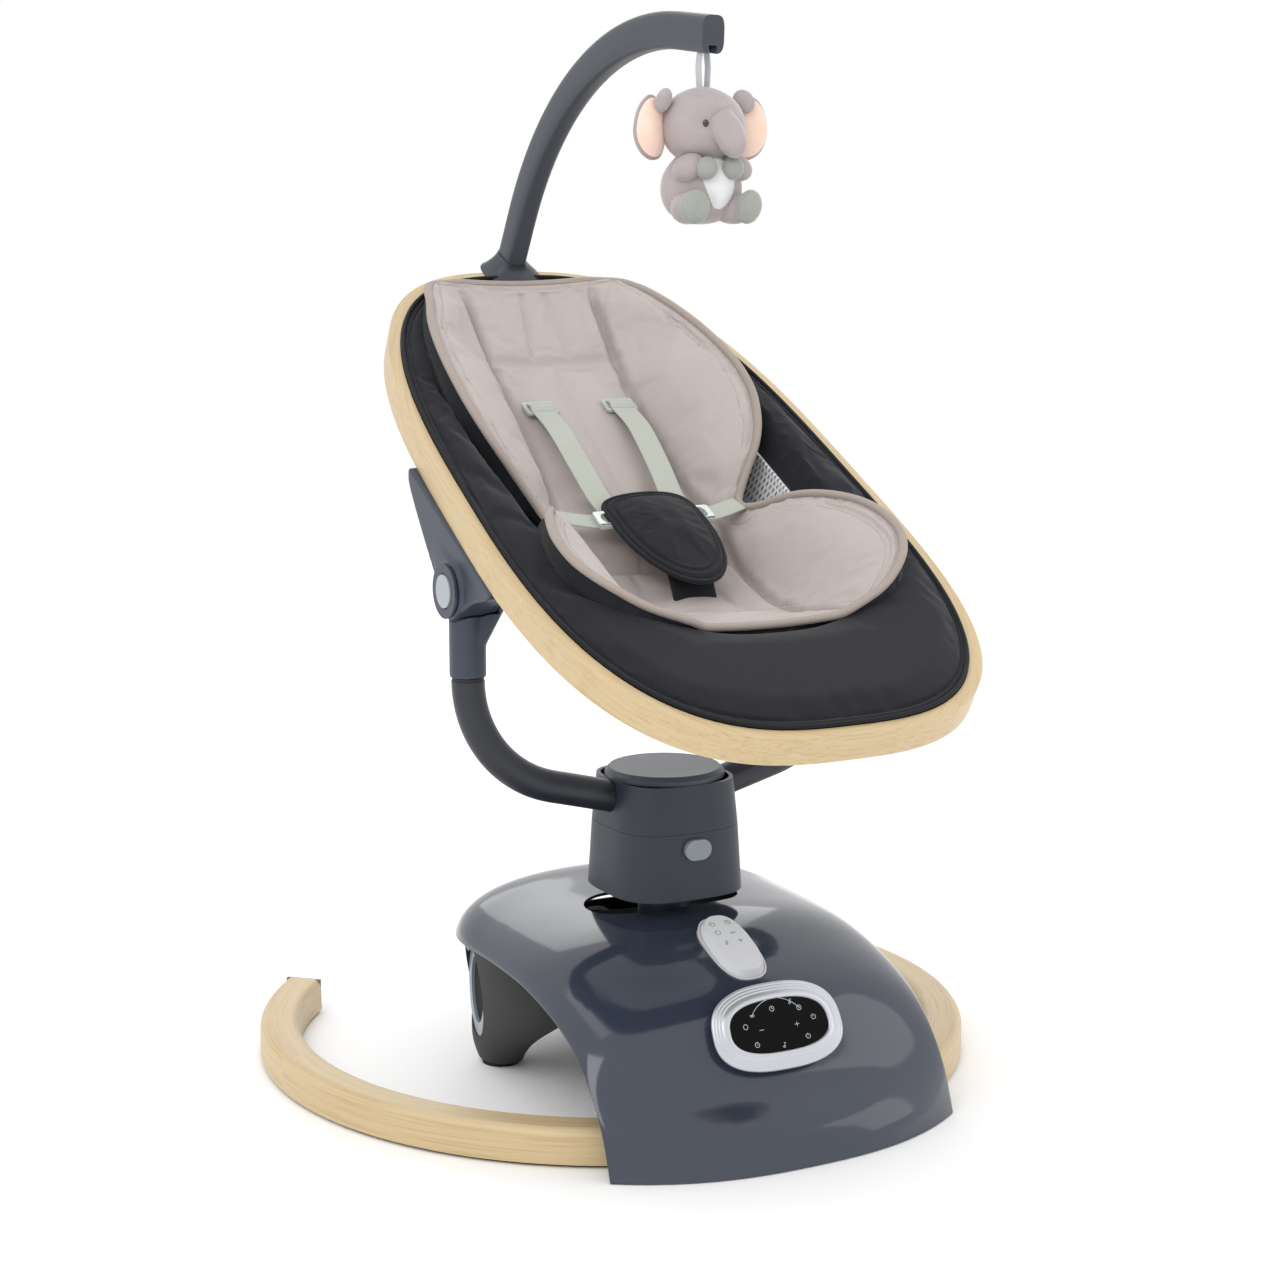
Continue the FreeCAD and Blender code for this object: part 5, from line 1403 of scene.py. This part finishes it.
def arc(x, y, radius, start=0, end=360, count=20):
    turn = np.radians(np.linspace(start, end, count))
    return np.stack([x + radius * np.cos(turn), y + radius * np.sin(turn)], -1)


def symbol(kind, x, y, size):
    """Lines of a plain symbol about a point."""
    if kind == "plus":
        return [[(x - size, y), (x + size, y)], [(x, y - size), (x, y + size)]]
    if kind == "minus":
        return [[(x - size, y), (x + size, y)]]
    if kind == "power":
        return [arc(x, y, size, 120, 420), [(x, y), (x, y + size * 1.2)]]
    if kind == "note":
        side = x + size * 0.4
        stem = [(side, y - size * 0.7), (side, y + size), (x + size * 1.1, y + size * 0.6)]
        return [arc(x, y - size * 0.7, size * 0.4), stem]
    if kind == "timer":
        return [arc(x, y, size), [(x, y), (x, y + size * 0.6)], [(x, y), (x + size * 0.5, y)]]
    if kind == "sway":
        return [arc(x, y + size, size * 1.6, 230, 310, 8), arc(x, y + size * 1.6, size * 1.6, 235, 305, 8)]
    return [arc(x, y, size)]


def panel_outline(turn, inset=0.0):
    return oval(turn, 39 - inset, 65 - inset, 2.6, -0.03)


def make_panel():
    """The ring round the black glass, with three fine steps, and the printed symbols."""
    # Distance in from the ring's outer edge, and height above the slope.
    profile = [(0.4, 3.2), (0, 4.6), (0.6, 5.8), (2.6, 6.6), (3.0, 6.3), (3.4, 6.7)]
    profile += [(5.2, 7.5), (5.6, 7.2), (6.0, 7.6), (7.8, 8.4), (8.2, 8.1), (8.6, 8.5)]
    profile += [(11.5, 9.6), (13.6, 10.2), (14.8, 10.0), (15.5, 9.2), (15.7, 7.8)]
    turn = even_turns(200, panel_outline)
    rows = []
    for inset, height in profile:
        x, y = panel_outline(turn, inset)
        rows.append(np.stack([x, y, np.full_like(x, height)], -1))
    for inset, height in ((15.7, 3.0), (0.4, 3.0)):
        x, y = panel_outline(turn, inset)
        rows.append(np.stack([x, y, np.full_like(x, height)], -1))
    points = on_slope(np.array(rows).reshape(-1, 3), PANEL)
    faces = grid_faces(len(rows), len(turn), around=True, across=True)
    piece = make_piece("panel_bezel", points, faces, SILVER)
    settle(piece, "base", ["panel_ring"])
    lines = [arc(0, -6, 30, 35, 145, 30)]
    for kind, x, y in (
        ("timer", -3, 15),
        ("note", 16, 19),
        ("timer", 24, 12),
        ("power", 36, 2),
        ("sway", -24, 12),
        ("ring", -33, 3),
        ("minus", -18, -2),
        ("plus", 18, -2),
        ("timer", -26, -14),
        ("note", 0, -18),
        ("power", 26, -14),
    ):
        lines += symbol(kind, x, y, 2.2)
    line_icon("panel_symbols", lines, PANEL, 8.02, ICON)


def make_remote_symbols():
    top = 9.0
    lines = []
    for kind, x, y in (
        ("power", -8, 27),
        ("timer", 8, 27),
        ("ring", -8, 15),
        ("sway", 6, 13),
        ("note", -7, 1),
        ("plus", 8, 1),
    ):
        lines += symbol(kind, x, y, 2.6)
    line_icon("remote_symbols", lines, DOCK, top, DARK_ICON, 0.6, "remote_control")


# ---------------------------------------------------------------- the whole swing


def main():
    make_camera()
    make_studio()
    finish_nodes()
    make_border()
    make_basin()
    make_insert()
    make_harness()
    make_waist_straps()
    make_waist_clips()
    for side, sign in (("left", -1), ("right", 1)):
        make_bracket(side, sign)
        make_stem(side, sign)
    make_buckle_pad()
    make_crotch_strap()
    make_toy()
    make_panel()
    make_remote_symbols()


def make_studio():
    """A pale flat floor under a white world, and soft boxes round the object."""
    world = bpy.data.worlds.new("studio")
    bpy.context.scene.world = world
    world.use_nodes = True
    backdrop = world.node_tree.nodes["Background"]
    backdrop.inputs["Color"].default_value = linear("#ffffff")
    backdrop.inputs["Strength"].default_value = 1.0
    side = 30.0
    mesh = bpy.data.meshes.new("studio_floor")
    corners = [(-side, -side, 0), (side, -side, 0), (side, side, 0), (-side, side, 0)]
    mesh.from_pydata(corners, [], [(0, 1, 2, 3)])
    material, _, _ = new_material("matt_white_paint", "#ffffff", 0.9, Specular_IOR_Level=0.0)
    mesh.materials.append(material)
    floor = bpy.data.objects.new("studio_floor", mesh)
    bpy.context.scene.collection.objects.link(floor)
    middle = (0, 0, 0.4)
    make_lamp("key_light", (-2.2, -1.6, 2.6), middle, (1.6, 1.6), 22)
    make_lamp("fill_light", (2.6, -1.8, 1.6), middle, (1.4, 2.2), 9)
    make_lamp("top_light", (0, 0.5, 3.4), middle, (2.4, 2.4), 14)
    make_lamp("back_light", (1.2, 2.8, 2.0), middle, (2.0, 1.5), 10)
    view = bpy.context.scene.view_settings
    view.view_transform = "Standard"
    view.look = "None"


main()
